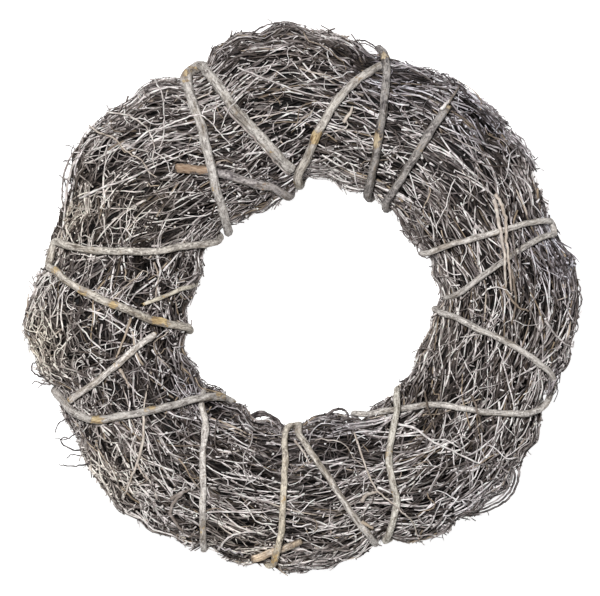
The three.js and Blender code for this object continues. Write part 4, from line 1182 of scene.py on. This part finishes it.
def addBundle(bundle):
    count, steps = bundle["count"], bundleLook["steps"]
    t = np.linspace(0, 1, steps)[None, :, None]
    ends = [np.array(bundle[end]) + ring["centre"] + draw.normal(0, bundle["spread"] / 2, (count, 2))
            for end in ("from", "to")]
    ahead = (ends[1] - ends[0]) / np.linalg.norm(ends[1] - ends[0], axis=1, keepdims=True)
    ends[1] += ahead * draw.uniform(-bundleLook["ragged"], 0, (count, 1))
    outward = (ends[0] + ends[1]) / np.linalg.norm(ends[0] + ends[1], axis=1, keepdims=True)
    flat = ends[0][:, None] * (1 - t) + ends[1][:, None] * t
    flat = flat + outward[:, None] * np.sin(math.pi * t) * draw.uniform(0, bundleLook["bow"], (count, 1, 1))
    flat = flat + draw.normal(0, bundleLook["crooked"], flat.shape)
    height = draw.uniform(*bundle.get("heights", bundleLook["heights"]), (count, 1))
    height = height + draw.normal(0, bundleLook["crooked"], (count, steps))
    points = np.dstack([flat, height]) * mm
    tone = np.tile([0.0, 0.0, 0.0, bundleLook["warm"]], (count, steps, 1))
    tone[..., 0] = draw.uniform(*bundle["light"], (count, 1))
    tone[..., 0] += bundleLook["mottle"] * draw.standard_normal((count, steps))
    radius = draw.uniform(*bundleLook["radius"], (count, 1)) * mm * np.linspace(1, bundleLook["tip"], steps)
    upward = np.broadcast_to(facingUp, points.shape)
    shareOut(*skinTwigs(points, upward, radius, bundleLook["sides"], tone))


singleLook = {
    "sides": 6, "steps": 5, "tip": 0.55, "jitter": 0.22, "bumps": 0.08, "mottle": 0.06, "warm": 0.5,
    "strayHeight": (34, 50), "strayRise": 1.2,  # mm above the ground, and higher at each point
}
twigletLook = {"radius": (0.55, 0.45, 0.35), "length": (3, 7), "flat": (1, 1, 0.4), "bow": 0.5, "sides": 4}


# A smooth line through given points
def smoothLine(points, steps):
    line = np.vstack([2 * points[0] - points[1], points, 2 * points[-1] - points[-2]])
    t = np.linspace(0, 1, steps, endpoint=False)[:, None]
    pieces = [
        p1 + t * (p2 - p0) / 2 + t**2 * (2 * p0 - 5 * p1 + 4 * p2 - p3) / 2
        + t**3 * (3 * (p1 - p2) + p3 - p0) / 2
        for p0, p1, p2, p3 in zip(line, line[1:], line[2:], line[3:])
    ]
    return np.vstack([*pieces, line[-2:-1]])


def addSingle(points, radius, light, ochre, twiglets=0):
    line = smoothLine(points, singleLook["steps"])
    line[1:-1] += draw.normal(0, singleLook["jitter"] * mm, line[1:-1].shape)
    radius = radius * mm * np.linspace(1, singleLook["tip"], len(line))
    radius = radius * (1 + singleLook["bumps"] * draw.standard_normal(len(line)))
    upward = np.broadcast_to(facingUp, line.shape)[None]
    tone = np.tile([light, ochre, 0.0, singleLook["warm"]], (1, len(line), 1))
    tone[..., 0] += singleLook["mottle"] * draw.standard_normal(len(line))
    shareOut(*skinTwigs(line[None], upward, radius[None], singleLook["sides"], tone))
    for _ in range(twiglets):
        root = line[draw.integers(1, len(line) - 1)]
        away = draw.normal(0, 1, 3) * twigletLook["flat"]
        tip = root + away / np.linalg.norm(away) * draw.uniform(*twigletLook["length"]) * mm
        middle = (root + tip) / 2 + draw.normal(0, twigletLook["bow"] * mm, 3)
        thin = np.array([twigletLook["radius"]]) * mm
        shareOut(*skinTwigs(np.stack([root, middle, tip])[None], upward[:, :3], thin, twigletLook["sides"],
                            tone[:, :3]))


for radius, light, ochre, path in frontTwigs.values():
    places = np.array([front(*spot) for spot in path])
    addSingle(surfacePoints(*places.T), radius, light, ochre)
for bundle in rimBundles.values():
    addBundle(bundle)
for radius, light, ochre, twiglets, path in strayTwigs.values():
    flat = np.array(path, float) + ring["centre"]
    heights = draw.uniform(*singleLook["strayHeight"]) + singleLook["strayRise"] * np.arange(len(flat))
    addSingle(np.column_stack([flat, heights]) * mm, radius, light, ochre, twiglets)
print("twigs grown")

# The dark middle of the bundle, under the imported twigs: lift, roughness and ground in mm, how its ripples
# turn, corners round the section and along the ring, and how far a hollow of the twigs goes into it
# Its near-black colour is painted shade, the shade deep inside the bundle
coreLook = {
    "lift": -7.4, "rough": 1.0, "ground": 1.5, "ripples": (3.1, 0.21), "around": 48, "along": 9,
    "hollowed": 0.5,
}


def addCore(k, name):
    start = ring["firstCut"] + k * 360 / ring["bunches"]
    angles = np.linspace(start, start + 360 / ring["bunches"], coreLook["along"])
    sections = np.linspace(0, 360, coreLook["around"], endpoint=False)
    angle, section = np.meshgrid(angles, sections, indexing="ij")
    alongRipple, aroundRipple = coreLook["ripples"]
    lift = coreLook["lift"] + coreLook["rough"] * np.sin(section * aroundRipple + angle * alongRipple)
    lift = lift + footAt(angle, section) - readGrid(pressGrid, angle, section)
    lift = lift - readGrid(hollowGrid, angle, section) * coreLook["hollowed"]
    lift = lift + readGrid(swellGrid, angle, section)
    skin = surfacePoints(angle, section, lift)
    skin[..., 2] = np.maximum(skin[..., 2], coreLook["ground"] * mm)
    count, sides = skin.shape[:2]
    corners = np.arange(count * sides).reshape(count, sides)
    beyond = np.roll(corners, -1, axis=1)
    walls = np.stack([corners[:-1], corners[1:], beyond[1:], beyond[:-1]], -1).reshape(-1, 4).tolist()
    faces = walls + [corners[0].tolist(), corners[-1][::-1].tolist()]
    flat = skin.reshape(-1, 3)
    # painted shade: the darkest tone at full depth, near black
    tone = np.tile([0.0, 0.0, 1.0, 0.5], (len(flat), 1))
    gathered[name].append((flat, faces, flat, tone))


allTriangles = 0
for k, name in enumerate(bunchNames):
    addCore(k, name)
    points, partFaces, places, tones = zip(*gathered[name])
    shifts = np.cumsum([0] + [len(part) for part in points]).tolist()
    faces = [[v + shift for v in face] for shift, part in zip(shifts, partFaces) for face in part]
    made = meshObject(name + "_twigs", np.vstack(points), faces, brushwood,
                      barkPlace=np.vstack(places), twigTone=np.vstack(tones))
    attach(made, "root")
    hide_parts(name)
    triangles = sum(len(face) - 2 for face in faces)
    allTriangles += triangles
    print(name, "triangles:", triangles)
print("triangles in all bunches:", allTriangles)

# Floor and light
stageLook = {
    "floor": 6.0, "floorColor": (0.5, 0.5, 0.5), "floorGlow": 0.97,  # the floor is as pale as a lit backdrop
    "key": 150, "keySize": 0.5, "keyPlace": (-0.3, 0.5, 3.25), "sky": 0.05,
}

paleFloor, tree, shader = startMaterial("pale_floor")
setSockets(tree, shader, Base_Color=stageLook["floorColor"], Roughness=0.9)
setSockets(tree, shader, Emission_Color=(1, 1, 1), Emission_Strength=stageLook["floorGlow"])
floorMesh = bpy.data.meshes.new("floor")
half = stageLook["floor"] / 2
floorCorners = [(-half, -half, 0), (half, -half, 0), (half, half, 0), (-half, half, 0)]
floorMesh.from_pydata(floorCorners, [], [(0, 1, 2, 3)])
floorMesh.materials.append(paleFloor)
floor = bpy.data.objects.new("floor", floorMesh)
bpy.context.scene.collection.objects.link(floor)

key = bpy.data.objects.new("key", bpy.data.lights.new("key", "AREA"))
key.data.size = stageLook["keySize"]
key.data.energy = stageLook["key"]
key.location = stageLook["keyPlace"]
key.rotation_mode = "QUATERNION"
key.rotation_quaternion = key.location.to_track_quat("Z", "Y")
bpy.context.scene.collection.objects.link(key)

world = bpy.data.worlds.new("studio")
world.use_nodes = True
setSockets(world.node_tree, world.node_tree.nodes["Background"], Color=(1, 1, 1), Strength=stageLook["sky"])
bpy.context.scene.world = world
bpy.context.scene.view_settings.view_transform = "Standard"
print("stage ready")
